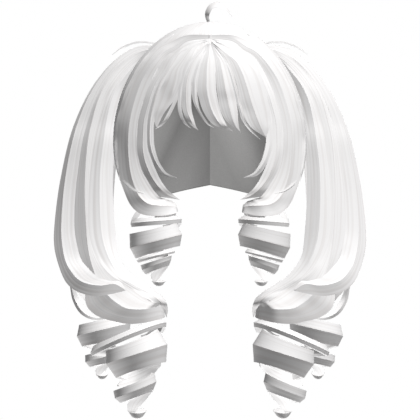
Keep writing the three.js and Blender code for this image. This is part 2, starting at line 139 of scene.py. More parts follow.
# Streaks in the hair's white, and its two tints.
FINE_STREAKS = {"across": 9, "along": 0.12, "detail": 3}
BROAD_STREAKS = {"across": 2.6, "along": 0.06, "detail": 1}
HAIR_TINT = [(0.36, (0.765, 0.748, 0.743, 1)), (0.5, (0.82, 0.811, 0.811, 1))]

# White sheet behind the fringe's roots: rows of z, half width, and how deep it lies in the hair.
FRINGE_BACKING = [(-9, 6), (-13, 16), (-18, 26), (-24, 36), (-31, 44), (-38, 49), (-44, 51)]
BACKING_INSET = -11.5
BACKING_WALL = 2
BACKING_COLUMNS = 25
BACKING_RINGS = 100

# Locks by their places in the photograph: rows of pixels across and down of the left edge, the
# ridge and the right edge. Stations along the rows turn the facets: the row, how far its ridge
# lies behind the hair's egg, and the degrees by which the left and the right facet fall back.
SIDE = {
    "places": [
        (211.5, 35, 211.5, 36.7, 211.5, 38.5), (187, 35.2, 187.5, 38.6, 188, 41.5),
        (171, 41.2, 174.5, 46, 177, 50), (159, 46.5, 163.5, 52, 167, 56),
        (147, 60, 152.7, 63.5, 158.8, 66.5), (134, 80, 142, 80, 151.7, 80),
        (126, 100, 134.7, 100, 143.7, 100), (120, 120, 129.8, 120, 138.3, 120),
        (117.6, 140, 128, 140, 136.7, 140), (118.2, 160, 128.8, 160, 138.7, 160),
        (119.3, 176, 131.2, 176, 144.5, 176), (124, 191, 136, 190, 153.5, 190),
        (130.5, 205, 141, 198.5, 160, 197), (140, 213.5, 149, 204, 165, 198.5),
        (153, 216, 159, 205.5, 168.5, 200), (165, 215, 168, 205.7, 172, 201),
        (176.5, 213, 174.5, 206.5, 174, 202.5), (178, 212, 177.5, 208, 177, 205),
    ],
    "facets": [
        (0, 1, 10, -15), (1, 1, 15, -15), (2, 4, 45, -20), (3, 2, 55, -15), (4, 2, 55, -10),
        (6, 7, 45, -15), (7, 6, 50, -15), (8, 4, 55, -15), (9, 0, 50, -10), (10, -7, 45, -10),
        (11, -15, 40, -10), (12, -22, 40, 0), (13, -22, 20, 25), (14, -14, -5, 50), (15, -1, -25, 70),
        (16, 14, -35, 75), (17, 23, 30, 75),
    ],
}
CHEEK_OUTER = {
    "places": [
        (207, 38.5, 207.5, 39.2, 208, 39.8), (190, 40.3, 193, 42, 194.5, 43.5),
        (176.5, 47, 183, 47, 185, 47), (169, 52, 177, 52, 179, 52), (162, 60, 170.5, 60, 172.5, 60),
        (157, 70, 165, 70, 167, 70), (151.7, 80, 157.7, 80, 160, 80), (147, 90, 153, 90, 155.3, 90),
        (143.7, 100, 149.6, 100, 152, 100), (138.3, 120, 144.2, 120, 147.7, 120),
        (136.7, 140, 142.8, 140, 147, 140), (136.8, 150, 142.9, 150, 148.3, 150),
        (138.7, 160, 144.7, 160, 151.8, 160), (141.7, 170, 148.3, 170, 155.8, 170),
        (147, 180, 153.5, 180, 160.7, 180), (153, 189.5, 161, 189.3, 167, 189),
        (160, 196.5, 168, 195, 173, 194.3), (168, 198, 173, 197.2, 176, 196.8),
        (179.5, 199.7, 179.5, 199.6, 179.5, 199.5),
    ],
    "facets": [
        (0, 7, 70, 20), (1, 8, 50, -35), (2, 10, 40, -25), (3, 12, 40, -40), (5, 15, 45, -45),
        (6, 15.5, 45, -30), (8, 16, 45, -10), (9, 16, 45, -15), (12, 9, 45, -15), (14, 4, 40, -10),
        (15, 1, 35, -10), (18, 2, 35, 0),
    ],
}
CHEEK_INNER = {
    "places": [
        (207.5, 39, 208, 39.8, 208.5, 40.4), (194.5, 43, 196.5, 44.3, 198, 45.5),
        (179, 52, 181, 52, 189, 52), (172.5, 60, 174.5, 60, 185, 60), (167, 70, 168.5, 70, 180, 70),
        (160, 80, 161.7, 80, 174, 80), (155.3, 90, 157.7, 90, 169, 90),
        (152, 100, 154.6, 100, 165, 100), (147.7, 120, 150.3, 120, 155, 120),
        (147, 140, 149.8, 140, 154, 140), (148.3, 150, 151.3, 150, 155.5, 150),
        (151.8, 160, 154.8, 160, 158.5, 160), (155.5, 168, 159.4, 167.8, 162.3, 167),
        (159.5, 173, 163.5, 172.8, 166.3, 172.3), (165.5, 176.6, 169, 176, 171, 175.2),
        (176.5, 177.8, 176.5, 177.6, 176.5, 177.4),
    ],
    "facets": [
        (0, 9.5, 70, 40), (1, 10, 55, -15), (2, 12.5, 45, -20), (3, 14, 30, -25), (4, 15, 45, -15),
        (5, 16, 50, -25), (7, 17, 50, -20), (8, 16.5, 50, -15), (9, 13.5, 50, -15), (11, 9, 45, -20),
        (12, 7.5, 45, -10), (14, 7.5, 30, -20), (15, 7.5, 0, 0),
    ],
}
# The fringe's rows are level: pixels down, then across to the left edge, ridge and right edge.
FRINGE = [
    {
        "level": [
            (40.6, 207.5, 208.2, 208.8), (46, 191, 195, 198.5), (52, 185, 189.5, 194),
            (60, 179, 184, 191), (70, 170, 178, 187.5), (80, 165, 176, 185.6), (90, 160, 173, 180.8),
            (100, 157, 169.5, 174.5), (110, 154.5, 163.5, 166.3), (118, 154, 159, 161.5),
            (128.5, 156.4, 156.5, 156.6),
        ],
        "facets": [
            (0, -6, 70, 45), (1, -3.5, 35, -5), (2, -2.5, 30, -10), (3, 0, 25, -25), (5, 5, 25, -20),
            (6, 7, 30, -10), (7, 9.5, 25, -20), (9, 9.5, 25, -15), (10, 9, 0, 0),
        ],
    },
    {
        "level": [
            (82, 182, 183, 184), (97, 175.3, 177, 178.7), (110, 169, 171, 173),
            (120, 163.5, 165.5, 167.5), (126, 158.4, 160, 161.6), (128.8, 155.2, 155.5, 155.8),
        ],
        "facets": [
            (0, 4, 10, 30), (1, 7, 15, 5), (2, 8, 20, 5), (3, 7.5, 20, 20), (4, 8, 60, 45),
            (5, 8.5, 60, 0),
        ],
    },
    {
        "level": [
            (43, 207.7, 208.3, 208.9), (53, 196, 197, 198), (61, 189.7, 191, 192.3),
            (70, 184.5, 186, 187.5), (80, 180.9, 182.7, 184.5), (90, 178.6, 180.5, 182.4),
            (100, 177.7, 179.7, 181.7), (110, 178, 180, 182), (120, 181.3, 183, 184.7),
            (125.5, 186.3, 187.5, 188.7), (128.3, 190.8, 191, 191.2),
        ],
        "facets": [
            (0, -7, 45, 35), (1, -5, 40, 15), (2, -3, 30, -15), (3, -1, 35, -15), (4, 2, 25, -20),
            (5, 4.5, 30, -5), (6, 6.5, 25, -20), (8, 8, 35, -30), (9, 8, 60, -25), (10, 8.5, 0, 0),
        ],
    },
    {
        "level": [
            (43, 207.8, 208.6, 209.4), (53, 198, 200, 202.5), (61, 191.5, 193.7, 198.8),
            (70, 187.3, 189.8, 195.5), (80, 184.6, 187, 192), (90, 182.3, 186, 191.8),
            (100, 181.8, 186, 191.3), (110, 182.5, 187, 191.7), (120, 186.6, 190.8, 194.2),
            (126, 192, 194, 196), (130.2, 198.1, 198.3, 198.5),
        ],
        "facets": [
            (0, -5, 50, 60), (1, -4, 30, 15), (2, -2, 22, -5), (4, 2.5, 30, -5), (6, 6.5, 30, 0),
            (7, 8, 25, -5), (8, 8, 35, 5), (9, 9, 55, -5), (10, 10, 0, 0),
        ],
    },
    {
        "level": [
            (43, 208.5, 209, 209.5), (53, 203, 204, 205.3), (61, 198.8, 200.5, 202),
            (70, 194.5, 197.5, 199.5), (80, 192, 195, 198), (90, 192, 194.7, 197.2),
            (100, 192.8, 195, 198), (110, 197, 198.5, 200.3), (120, 203.3, 204.7, 206.2),
            (125, 208, 209.3, 210.3), (127.8, 214, 214.2, 214.4),
        ],
        "facets": [
            (0, -7, 55, 70), (1, -5, 25, 30), (2, -4, 15, 20), (3, -1.5, 25, 10), (4, 1, 25, 0),
            (5, 3.5, 30, 5), (6, 6, 25, -10), (7, 7, 40, -20), (8, 7.5, 55, -20), (9, 8, 50, -5),
            (10, 8, 0, 0),
        ],
    },
    {
        "level": [
            (42.5, 209, 210, 211), (53, 205.5, 209, 213), (61, 201.8, 207.7, 214.5),
            (70, 199.5, 206.9, 215.3), (80, 197.8, 206.7, 215.8), (90, 197, 206.9, 216.3),
            (100, 199.3, 208.7, 217.9), (110, 202.6, 211.7, 220.3), (120, 208.6, 216.9, 224),
            (126.2, 216, 222.5, 227.8), (131, 232.3, 232.5, 232.7),
        ],
        "facets": [
            (0, -5, 50, 60), (1, -5, 30, 25), (2, -3.5, 22, 17), (4, 1, 20, 15), (6, 5.5, 20, 13),
            (7, 7, 18, 17), (8, 8, 15, 20), (9, 10, 0, 0), (10, 12, 0, 0),
        ],
    },
    {
        "level": [
            (43, 210.2, 211, 211.8), (53, 213, 215.3, 218), (61, 214.7, 219.9, 224.2),
            (70, 215.5, 221.8, 228), (80, 216, 223.7, 231), (90, 216.8, 225.5, 233.7),
            (100, 218.3, 227.7, 236), (110, 220.5, 230, 237.7), (120, 225.6, 232.8, 238.2),
            (127, 233.5, 236, 239), (132.6, 240.4, 240.6, 240.8),
        ],
        "facets": [
            (0, -5, 40, -40), (1, -3, 20, -10), (2, -2.5, 13, 10), (3, -1, 15, 20), (5, 3, 14, 25),
            (6, 6, 10, 25), (8, 8.5, 7, 22), (9, 10, 5, 17), (10, 11, 0, 0),
        ],
    },
    {
        "level": [
            (43, 211, 211.5, 212), (53, 219.5, 220.6, 222), (61, 224.3, 225.8, 228),
            (70, 228, 229.6, 232), (80, 231, 232.8, 235.2), (90, 233.7, 235.4, 237.8),
            (100, 236, 237.9, 240), (110, 238.8, 240.8, 243), (120, 241.8, 243.9, 246),
            (130, 249, 250.7, 252.7), (139.3, 259.8, 260, 260.2),
        ],
        "facets": [
            (0, -7, 75, -20), (1, -5, 30, -5), (2, -2.5, -5, 0), (3, -1, 10, 15), (4, 1.5, 8, 20),
            (6, 6.5, 8, 15), (7, 7, 15, 25), (8, 8.5, -5, 0), (9, 10, -30, 0), (10, 11.5, 0, 0),
        ],
    },
    {
        "level": [
            (42, 211, 212, 213), (46, 215, 217, 221), (53, 222, 226, 236), (61, 228.3, 236, 249),
            (70, 232, 241, 258), (80, 235.5, 244.8, 263), (90, 238, 247.8, 266), (100, 240, 250.7, 268),
            (110, 243, 254, 270), (120, 246, 257.7, 270.5), (128, 251.5, 261, 269.5),
            (137.3, 265.6, 265.8, 266),
        ],
        "facets": [
            (0, -8, 75, 70), (1, -5, 35, 25), (2, -3.5, 3, 30), (3, -3, 3, 38), (4, -1.5, 5, 40),
            (6, 3, 2, 42), (8, 7, -4, 43), (9, 8.5, -12, 44), (10, 10.5, -20, 40), (11, 13, 0, 0),
        ],
    },
]
# Locks that leave the egg: their stations hold the ridge's own depth.
WISP = {
    "places": [
        (171.8, 34, 173, 34, 174, 34), (161.7, 40, 162.9, 40, 166, 40), (154.4, 46, 155.6, 46, 159, 46),
        (148.4, 52, 149.6, 52, 153, 52), (142, 60, 142.8, 60, 147, 60), (135, 70, 135.8, 70, 139.3, 70),
        (130, 80, 130.8, 80, 134, 80), (125, 90, 125.8, 90, 129, 90),
        (121.7, 100, 122.5, 100, 126, 100), (118.9, 110, 119.7, 110, 123, 110),
        (116, 120, 116.8, 120, 120, 120), (114.7, 130, 115.5, 130, 118.8, 130),
        (113.9, 140, 114.7, 140, 117.6, 140), (113.8, 150, 114.6, 150, 117.7, 150),
        (114.8, 160, 115.6, 160, 118.5, 160), (117, 170.6, 117.8, 170.3, 120.6, 169.4),
        (121.6, 181, 122.4, 180.4, 125.4, 178.8), (127.8, 187, 128.3, 186.4, 130, 184.6),
        (134.6, 191.6, 134.8, 190.9, 135.4, 189), (140.5, 193, 140.6, 192.5, 140.9, 191.7),
        (145, 193.7, 145, 193.6, 145, 193.5),
    ],
    "facets": [
        (0, -35.5, 77, 40), (1, -34.5, 78, -48), (3, -37, 79, -57), (4, -42.5, 77, -46),
        (6, -45, 77, -46), (8, -46.5, 77, -46), (10, -44.5, 77, -46), (12, -43, 77, -46),
        (13, -46.5, 77, -46), (14, -51, 77, -46), (15, -57.5, 68, -34), (16, -64.5, 61, -33),
        (17, -72.5, 62, -12), (18, -79.5, 60, 10), (19, -82.5, 10, 35), (20, -84, 70, 70),
    ],
}
TAIL_OUTER = {
    "places": [
        (168.6, 49.3, 169, 50.1, 169.4, 51.7), (150, 45, 150.5, 46, 151, 48.5),
        (132, 48.5, 132.5, 49.3, 134.5, 53.5), (112, 62.5, 112.8, 63.3, 118, 66),
        (95.5, 82, 97, 82.5, 103.8, 84), (84, 101.5, 86, 102, 94, 103), (75, 122, 77.9, 122, 87.6, 122),
        (69, 140, 72.6, 140, 82.8, 140), (63, 166, 67.2, 166, 78.7, 166),
        (57.8, 195, 63.2, 195, 75.3, 195), (54.2, 228, 61.2, 228, 74.6, 228),
        (54.2, 246, 62.2, 245, 76.8, 243), (57.6, 262, 65.5, 261, 81.2, 259),
        (64, 279, 71.5, 272, 90, 270), (71.5, 288, 79, 280, 97, 276), (82, 293.5, 88.5, 284, 104, 279),
        (95, 296, 101, 285.5, 112, 281), (109, 294.5, 114.5, 284, 120, 281.5),
        (126, 290.6, 126, 290.4, 126, 290.2),
    ],
    "facets": [
        (0, 44, 0, 0), (1, 52, 40, -25), (2, 56, 45, -35), (3, 54, 67, -35), (4, 50.5, 70, -30),
        (6, 42, 70, -20), (8, 30, 65, -17), (9, 21.5, 62, -13), (10, 9, 57, -10), (11, 0.5, 52, -7),
        (12, -11, 52, -1), (13, -24, 36, -8), (14, -33, 30, -3), (15, -38.5, 20, 5),
        (16, -42.5, 13, 12), (17, -44.5, 5, 23), (18, -45.5, 0, 0),
    ],
}
TAIL_MIDDLE = {
    "places": [
        (169, 51, 169, 52, 169, 54), (151, 48.5, 151.2, 49.3, 151.5, 52),
        (134.5, 53.5, 135.3, 54.3, 138, 59), (118, 66, 119.2, 66.8, 125, 71),
        (103.8, 84, 105.6, 84.3, 113.5, 86), (94.5, 102, 97.3, 102, 105.3, 102),
        (87.6, 122, 91.8, 122, 99, 122), (82.8, 140, 88, 140, 94.8, 140),
        (78.7, 166, 85.6, 166, 91, 166), (75.3, 195, 84.7, 195, 88.7, 195),
        (74.4, 225, 86, 225, 88.6, 225), (76.4, 242, 87.3, 242, 91, 242), (80.9, 258, 90, 258, 97, 257),
        (86, 272, 94.5, 273, 105, 269), (85, 291, 99, 284, 114, 277.5),
        (87, 306.5, 107.5, 295, 124, 284), (98, 316.5, 115, 301.7, 133, 290),
        (115, 321.5, 125.5, 308, 143, 297), (130, 324, 136, 309.4, 150, 301),
        (146, 322.5, 147, 308.9, 156, 303), (161, 319, 159.5, 306.3, 161, 304),
        (165, 317, 164, 310, 164, 306),
    ],
    "facets": [
        (0, 42, 0, 0), (1, 47, 70, -5), (2, 51, 40, -25), (3, 48.5, 10, -25), (4, 43, 40, -25),
        (5, 36.5, 55, -10), (7, 24, 50, -5), (8, 15.5, 48, -5), (9, 5.5, 44, -5), (10, -6, 42, -4),
        (11, -13, 41, 0), (12, -21, 40, 0), (13, -29, 40, 2), (14, -35, 33, 10), (15, -39, 20, 18),
        (16, -41, 15, 19), (17, -45, 15, 18), (18, -46.5, 10, 20), (19, -45, 8, 30), (20, -30, 3, 50),
        (21, -16, 0, 0),
    ],
}
TAIL_INNER = {
    "places": [
        (169, 52.5, 169, 54.2, 169.8, 56.7), (151.5, 52, 152, 54, 153, 57),
        (138, 59, 139.5, 60, 142, 66), (125, 71, 129.5, 71, 135, 80), (113.5, 86, 118, 86, 128, 95),
        (105.3, 102, 111, 102, 123, 110), (99, 122, 106.3, 122, 119, 125),
        (94.8, 140, 103.7, 140, 116, 140), (91, 166, 100.6, 166, 113.5, 166),
        (88.7, 195, 99.6, 195, 113, 195), (88.6, 225, 100.8, 225, 114.7, 225),
        (91, 242, 103.3, 242, 116.2, 242), (97, 257, 108.5, 257, 118.5, 256),
        (105, 269, 115.5, 269.5, 125, 267), (114, 277.5, 125, 279.5, 134, 277),
        (124, 284, 136, 286.5, 145, 284), (133, 290, 147, 292, 156, 291),
        (143, 297, 157, 298.5, 164, 298), (155, 303, 163, 305, 167, 304.5),
        (162.5, 309, 165.7, 310.5, 168, 310), (166.5, 317.5, 166.7, 317, 167, 316.5),
    ],
    "facets": [
        (0, 41, 0, 0), (1, 45.5, 25, 45), (2, 47.5, 5, 12), (3, 43, 12, 9), (4, 37, 20, 13),
        (6, 24.5, 25, 12), (8, 10.5, 20, 14), (9, 1.5, 16, 18), (10, -8.5, 10, 20), (11, -15, 7, 25),
        (12, -21.5, 3, 32), (13, -26, -11, 27), (14, -30, -9, 29), (15, -30.5, -5, 24),
        (16, -31.5, -3, 21), (17, -33, -15, 42), (18, -27, -36, 28), (19, -12.5, -60, 10),
        (20, 3, 0, -70),
    ],
}
# Thin locks: rows of pixels across and down and the depth of the left edge, ridge and right edge.
TAIL_ARC = [
    (162, 47.5, 46.4, 162, 48.4, 45.95, 162, 49.5, 45.5),
    (155, 43.2, 47.4, 155, 44.1, 46.95, 155, 45.2, 46.5),
    (149, 41.7, 47.4, 149, 42.5, 46.95, 149, 43.6, 46.5),
    (143, 41.2, 48.4, 143, 42, 47.95, 143, 43.1, 47.5),
    (137, 41.5, 49.4, 137.2, 42.3, 48.95, 137.4, 43.4, 48.5),
    (131, 43, 49.9, 131.3, 43.8, 49.45, 131.7, 44.8, 49),
    (125, 45.3, 50.4, 125.3, 46, 49.95, 125.8, 46.9, 49.5),
    (119, 48.7, 50.4, 119.2, 49.2, 49.95, 119.6, 49.9, 49.5),
    (112.3, 54.6, 50, 112.3, 54.7, 50, 112.4, 54.8, 50),
]
TAIL_STRAND = [
    (66, 268, 44, 67.5, 268, 41, 70, 268, 43), (70, 287, 46, 71.8, 288, 42, 75.5, 289.5, 44),
    (72.5, 300, 46, 75, 300, 42, 79.5, 299.5, 44), (79, 312, 40, 81.5, 310.5, 35, 86, 308, 38),
    (88, 318.3, 34, 89.6, 316.2, 29, 93, 313.5, 32), (98, 320, 32, 98.5, 317.8, 27, 100, 315.5, 30),
    (108, 317.5, 33, 108, 316, 30, 108, 314.5, 32),
    (113.5, 314.8, 36, 113.5, 314.6, 35, 113.5, 314.4, 36),
]

# Curls: bands wound round an upright axis at x, y. A whole turn is at the front, and a quarter more is
# on the -X side. A band's rows are the turn, then pixels across and down of the upper edge, the ridge
# and the lower edge where they pass the axis's own depth. Sheets are thin locks.
CURL_RINGS_PER_TURN = 56
CURL_LEAST_RINGS = 12
CURL_FACET_COLUMNS = 9
CURL_INNER_COLUMNS = 3
CURL_WALL = 4
CURL_INNER_HEIGHT = 0.94
CURL_INNER_LEAST = (0.4, 0.5)  # a radius, and a share of the outer one
CURL_TUCK = 0.12
CURL_TUCK_TURNS = 1.5
CURL_GROOVES = 4
CURL_GROOVE_DEPTH = (0.05, 0.15)
CURL_GROOVE_COLUMNS = [2, 3, 5, 6, 11, 12, 14, 15, 16]
CURL_GROOVE_FADE = (0.1, 0.85)
CURL_STRANDS = (15, 160)
SHEET_SEED = 5
# Rounded end of a curl: shares of its radius and of its depth. It hangs less deep at its back.
TIP_COLUMNS = 40
TIP_BACK_DEPTH = 0.4
TIP_STRANDS = 50
TIP_PROFILE = [
    (0.3, -0.06), (0.95, -0.03), (1, 0), (0.97, 0.12), (0.93, 0.3),
    (0.87, 0.55), (0.8, 0.8), (0.74, 0.98), (0.5, 1.04), (0.03, 1.06),
]
SIDE_CURL = {
    "axis": (-63, -55),
    "tip": {"middle": (158.75, 281), "radius": 8.1, "depth": 5.2, "lean": 0.02},
    "sheets": [
        [
            (163, 264.5, -54.5, 166, 263.5, -56.3, 169, 263, -58.1),
            (158, 268.5, -53.7, 163, 268.2, -56.4, 167.3, 267.8, -58.7),
            (152.5, 272, -53.2, 158.5, 272.3, -56, 164, 272, -58.5),
            (150.6, 276.3, -55, 156, 276.5, -57.2, 161.2, 276, -59.3),
            (152.3, 280.3, -58.8, 155, 280.8, -59.8, 157.5, 280.2, -60.7),
            (153, 282.2, -60.5, 154.5, 282.9, -61, 156, 282.6, -61.5),
        ],
        [
            (130.4, 225, -54, 132.6, 224.5, -56, 135, 224, -58),
            (131.3, 219.5, -53.5, 133.6, 219.8, -55.5, 136, 220, -57.5),
            (133.3, 215.3, -53, 135.8, 216, -55, 138.3, 217, -57.3),
            (136, 211.6, -52.5, 138.5, 212.6, -54.7, 141, 214, -57),
            (139, 208.5, -52, 141, 209.5, -54, 143.5, 210.5, -56),
        ],
    ],
    "bands": [
        {"rows": [
            (0.5, 179.8, 231.5, 180.4, 232.5, 179.8, 233.5),
            (0.75, 176.5, 223, 182, 234.5, 180, 246), (1.25, 129.5, 234, 130, 248, 135.5, 258.5),
            (1.75, 171.8, 255.5, 171.2, 259.8, 169, 265.6),
            (2.25, 140.5, 265.3, 142, 270.2, 145.5, 274.4),
            (2.7, 168, 261.5, 169.2, 263, 168.5, 265),
        ]},
        {"rows": [
            (0.55, 179, 225.3, 179.8, 226, 179, 226.7),
            (0.68, 177.2, 219.5, 181.1, 223.5, 180.3, 227.5),
            (0.75, 176.5, 215.5, 181.8, 219, 181.5, 223),
            (1.25, 134, 218.5, 130.8, 223, 131.3, 227),
        ]},
        {"rows": [
            (0.55, 168, 254, 168, 255, 168, 256), (0.75, 172, 248.5, 175, 251.2, 174.6, 253),
            (1.25, 139.5, 258.2, 136.6, 260.3, 138, 262.6),
            (1.32, 140, 259.8, 138.5, 261, 140, 262.3),
        ]},
        {"rows": [
            (0.66, 174.6, 211, 175.5, 213.5, 174.6, 216),
            (0.76, 175.5, 211, 176.2, 213, 175.5, 216), (1, 179.8, 214.5, 180.3, 216, 179.8, 217.5),
        ]},
    ],
}
FRONT_CURL = {
    "axis": (-88, 5),
    "tip": {"middle": (137.35, 410.6), "radius": 11.6, "depth": 7.7, "lean": 0.03},
    "sheets": [
        [
            (146, 391, 1.9, 150, 390, -0.6, 153.5, 390, -2.8),
            (136.5, 397, 4.8, 143.5, 396.5, 0.8, 149.6, 395, -2.6),
            (129.5, 401, 5.7, 138, 401, 1.6, 145.8, 400, -2.2),
            (127.3, 406, 3.3, 134, 406, 0.5, 141.2, 405, -2.5),
            (127.6, 409.5, 0.1, 132.5, 410, -1.8, 137.5, 409, -3.8),
            (128.3, 411.8, -2.5, 131, 413, -3.5, 134.8, 412.6, -4.9),
        ],
        [
            (157.5, 370, 4, 160.5, 366, 5, 161, 363, 6),
            (152.5, 374.5, 9, 152, 368.5, 11, 153, 364, 12.5),
            (144, 379, 13.5, 145, 373, 16, 145, 367, 18.5),
            (136, 384.5, 14.5, 136.5, 377, 20, 137, 370.5, 25.5),
            (129, 386.5, 13, 129, 380, 20, 129, 374, 27),
            (123, 387.5, 13, 123, 381.5, 19.5, 123.5, 376.5, 26),
            (117.5, 386.2, 16, 117.3, 385.6, 16.6, 117.5, 385, 17.2),
        ],
    ],
    "bands": [
        {"rows": [
            (0.5, 165.5, 342, 166.4, 343, 165.5, 344), (0.75, 157.7, 329, 167.4, 344.3, 166.3, 362),
            (1.25, 106, 351, 106, 364, 116, 378), (1.75, 154.5, 373, 156.5, 381.7, 153, 391),
            (2.25, 113.4, 391, 114.9, 398.4, 120, 402.8), (2.7, 152.5, 388, 153.6, 390, 153, 392),
        ]},
        {"axis": (-97.7, 5), "rows": [
            (0.55, 164.1, 335.3, 164.9, 336, 164.1, 336.7),
            (0.68, 162.4, 323, 165.7, 328, 164.9, 333),
            (0.75, 159.5, 318.5, 166.5, 322.5, 166, 327),
            (0.79, 160, 318.5, 167, 322.5, 166.5, 327), (1.25, 93.4, 346, 90.6, 352.6, 92, 356),
            (1.5, 108, 353, 108, 356, 108, 358),
        ]},
    ],
}
BACK_CURL = {
    "axis": (-133, 64),
    "tip": {"middle": (102.3, 373.3), "radius": 8.1, "depth": 5.2, "lean": 0.2},
    "sheets": [
        [
            (104, 364, 63.8, 107, 363, 61.9, 110, 362.5, 60),
            (97.5, 367, 65.6, 103, 367, 62.5, 108.2, 366.5, 59.6),
            (95.3, 370.5, 64.3, 100, 370.7, 62.1, 105.4, 370.3, 59.6),
            (96, 373.8, 61.3, 98.5, 374.3, 60.3, 101.6, 373.8, 59),
            (96.8, 376, 59, 98, 376.6, 58.5, 99.4, 376.4, 58),
        ],
    ],
    "bands": [
        {"rows": [
            (0.5, 128.9, 322, 129.4, 323, 128.9, 324), (0.75, 124, 314, 130.5, 323.3, 129, 339),
            (1.25, 79.2, 325, 77, 336.3, 82, 346.5), (1.75, 119, 346, 121, 353, 118, 361),
            (2.25, 85.1, 355.4, 85.3, 362, 89.5, 367),
            (2.7, 111.5, 361.5, 112.5, 363.5, 111.5, 365),
        ]},
    ],
}

# Pigtail bundle: rows of x, y, z, half width, half depth.
PIGTAIL_SPINE = [
    (-40, 38, -14, 12, 12),
    (-80, 53, -30, 19, 17),
    (-115, 54, -70, 25, 21),
    (-137, 48, -118, 30, 24),
    (-149, 43, -178, 34, 26),
    (-152, 38, -236, 36, 27),
]
PIGTAIL_CORE_END = (-134, 30, -300, 20, 18)
PIGTAIL_CORE_SHARE = 0.66
PIGTAIL_TURN_Z = (-300, -326)
# Its locks: place across and through the bundle, and rows of x, y, z, width share below it.
PIGTAIL_LOCKS = [
    {
        "curl": FRONT_CURL, "across": 0.4, "depth": 0.55, "width": 44, "thickness": 15, "peak": 0.04,
        "sweep": [(-128, 44, -276, 0.8), (-112, 36, -298, 0.5), (-92, 30, -312, 0.35), (-72, 22, -320, 0.2)],
    },
    {
        "curl": BACK_CURL, "across": -0.4, "depth": 0.55, "width": 44, "thickness": 15, "peak": 0.04,
        "sweep": [(-156, 50, -280, 1), (-149, 64, -316, 0.8), (-134, 80, -334, 0.55), (-119, 72, -342, 0.3)],
    },
]

# Stray loop on the crown: rows of pixels across and down of its outer and inner edge, and the depth of
# its ridge, which lies past the inner edge by a share of the width.
SPRIG = {
    "edge_depth": -5,
    "lap": 0.17,
    "rows": [
        (210.6, 26.4, 211.3, 26.2, -5.3), (209.1, 24, 210.6, 23.8, -5.9),
        (207.2, 21.8, 209.4, 21.3, -6.4), (205.8, 19, 208.7, 18.6, -8.9), (205, 15.8, 208.6, 16, -13),
        (205, 13, 208.9, 13.7, -14), (205.8, 10, 209.9, 11.6, -13.5), (207.8, 6.4, 211.7, 9, -13),
        (210.8, 3.7, 214.4, 7.2, -12), (214.6, 2, 217.3, 6.2, -11), (219, 2.3, 220.5, 6.7, -10.5),
        (223.5, 4.5, 223.8, 8.5, -10), (227.8, 8.3, 227.5, 11.4, -8.5),
        (232.3, 16.6, 232.2, 16.8, -5.6),
    ],
}


# Numbers and curves

def clamp(value, low, high):
    return max(low, min(high, value))


def smoothstep(value, start, end):
    share = clamp((value - start) / (end - start), 0, 1)
    return share * share * (3 - 2 * share)


def mix(a, b, share):
    return tuple(p + (q - p) * share for p, q in zip(a, b))


def cubic(rows, knots, at):
    """Row of a table at a knot value, smooth through its rows."""
    last = len(rows) - 2
    i = clamp(sum(at >= knot for knot in knots) - 1, 0, last)
    span = knots[i + 1] - knots[i]
    share = (at - knots[i]) / span

    def slope(k):
        low, high = max(0, k - 1), min(len(rows) - 1, k + 1)
        return tuple((q - p) / (knots[high] - knots[low]) for p, q in zip(rows[low], rows[high]))

    square, cube = share**2, share**3
    ends = (2 * cube - 3 * square + 1, 3 * square - 2 * cube)
    tangents = ((cube - 2 * square + share) * span, (cube - square) * span)
    start, end = slope(i), slope(i + 1)
    return tuple(
        ends[0] * a + ends[1] * b + tangents[0] * m + tangents[1] * n
        for a, b, m, n in zip(rows[i], rows[i + 1], start, end)
    )


def knots_along(rows):
    """Centripetal knots of rows that start with x, y, z."""
    knots = [0.0]
    for a, b in zip(rows, rows[1:]):
        knots.append(knots[-1] + math.dist(a[:3], b[:3]) ** 0.5)
    return knots


def dense(rows):
    """The rows joined by a smooth curve, with more rows on it."""
    knots = knots_along(rows)
    count = ROW_STEPS * (len(rows) - 1)
    return [cubic(rows, knots, knots[-1] * i / count) for i in range(count + 1)]


def evenly(rows):
    """Rows evenly spaced along their own path of x, y, z."""
    lengths = [0.0]
    for a, b in zip(rows, rows[1:]):
        lengths.append(lengths[-1] + math.dist(a[:3], b[:3]))
    count = max(LEAST_RINGS, round(lengths[-1] / RING_SPACING))
    even = []
    k = 0
    for i in range(count + 1):
        target = lengths[-1] * i / count
        while k < len(rows) - 2 and lengths[k + 1] < target:
            k += 1
        share = clamp((target - lengths[k]) / (lengths[k + 1] - lengths[k]), 0, 1)
        even.append(mix(rows[k], rows[k + 1], share))
    return even, lengths[-1]


def between(stations, at):
    """Values at a place along stations that each start with their own place."""
    for low, high in zip(stations, stations[1:]):
        if at <= high[0]:
            share = (at - low[0]) / (high[0] - low[0])
            return mix(low[1:], high[1:], share)
    return stations[-1][1:]


# Eggs

def reach_at(egg, z):
    return egg["reach_up"] if z > egg["widest_z"] else egg["reach_down"]


def egg_point(egg, polar, azimuth, grow=0):
    """Point of an egg at a polar angle from the crown and an azimuth from the face towards +X."""
    reach = egg["reach_up"] if polar < math.pi / 2 else egg["reach_down"]
    level = math.sin(polar)
    return Vector((
        (egg["half_width"] + grow) * level * math.sin(azimuth),
        -(egg["half_length"] + grow) * level * math.cos(azimuth),
        egg["widest_z"] + (reach + grow) * math.cos(polar),
    ))


def on_hair(x, z, inset):
    """Point on the front of the hair's egg that shows at x, z from the front."""
    polar = math.acos(clamp((z - HAIR["widest_z"]) / (reach_at(HAIR, z) + inset), -1, 1))
    half_width = (HAIR["half_width"] + inset) * math.sin(polar)
    return egg_point(HAIR, polar, math.asin(clamp(x / half_width, -1, 1)), inset)


def front_y(rows, z):
    """Depth of a front edge at a height."""
    place = [(row[1], row[0]) for row in reversed(rows)]
    knots = [row[0] for row in place]
    return cubic(place, knots, clamp(z, knots[0], knots[-1]))[1]


def nape_z(x, drop):
    share = min(1, abs(x) / NAPE["side_x"])
    return NAPE["mid_z"] + (NAPE["side_z"] - NAPE["mid_z"]) * share - drop


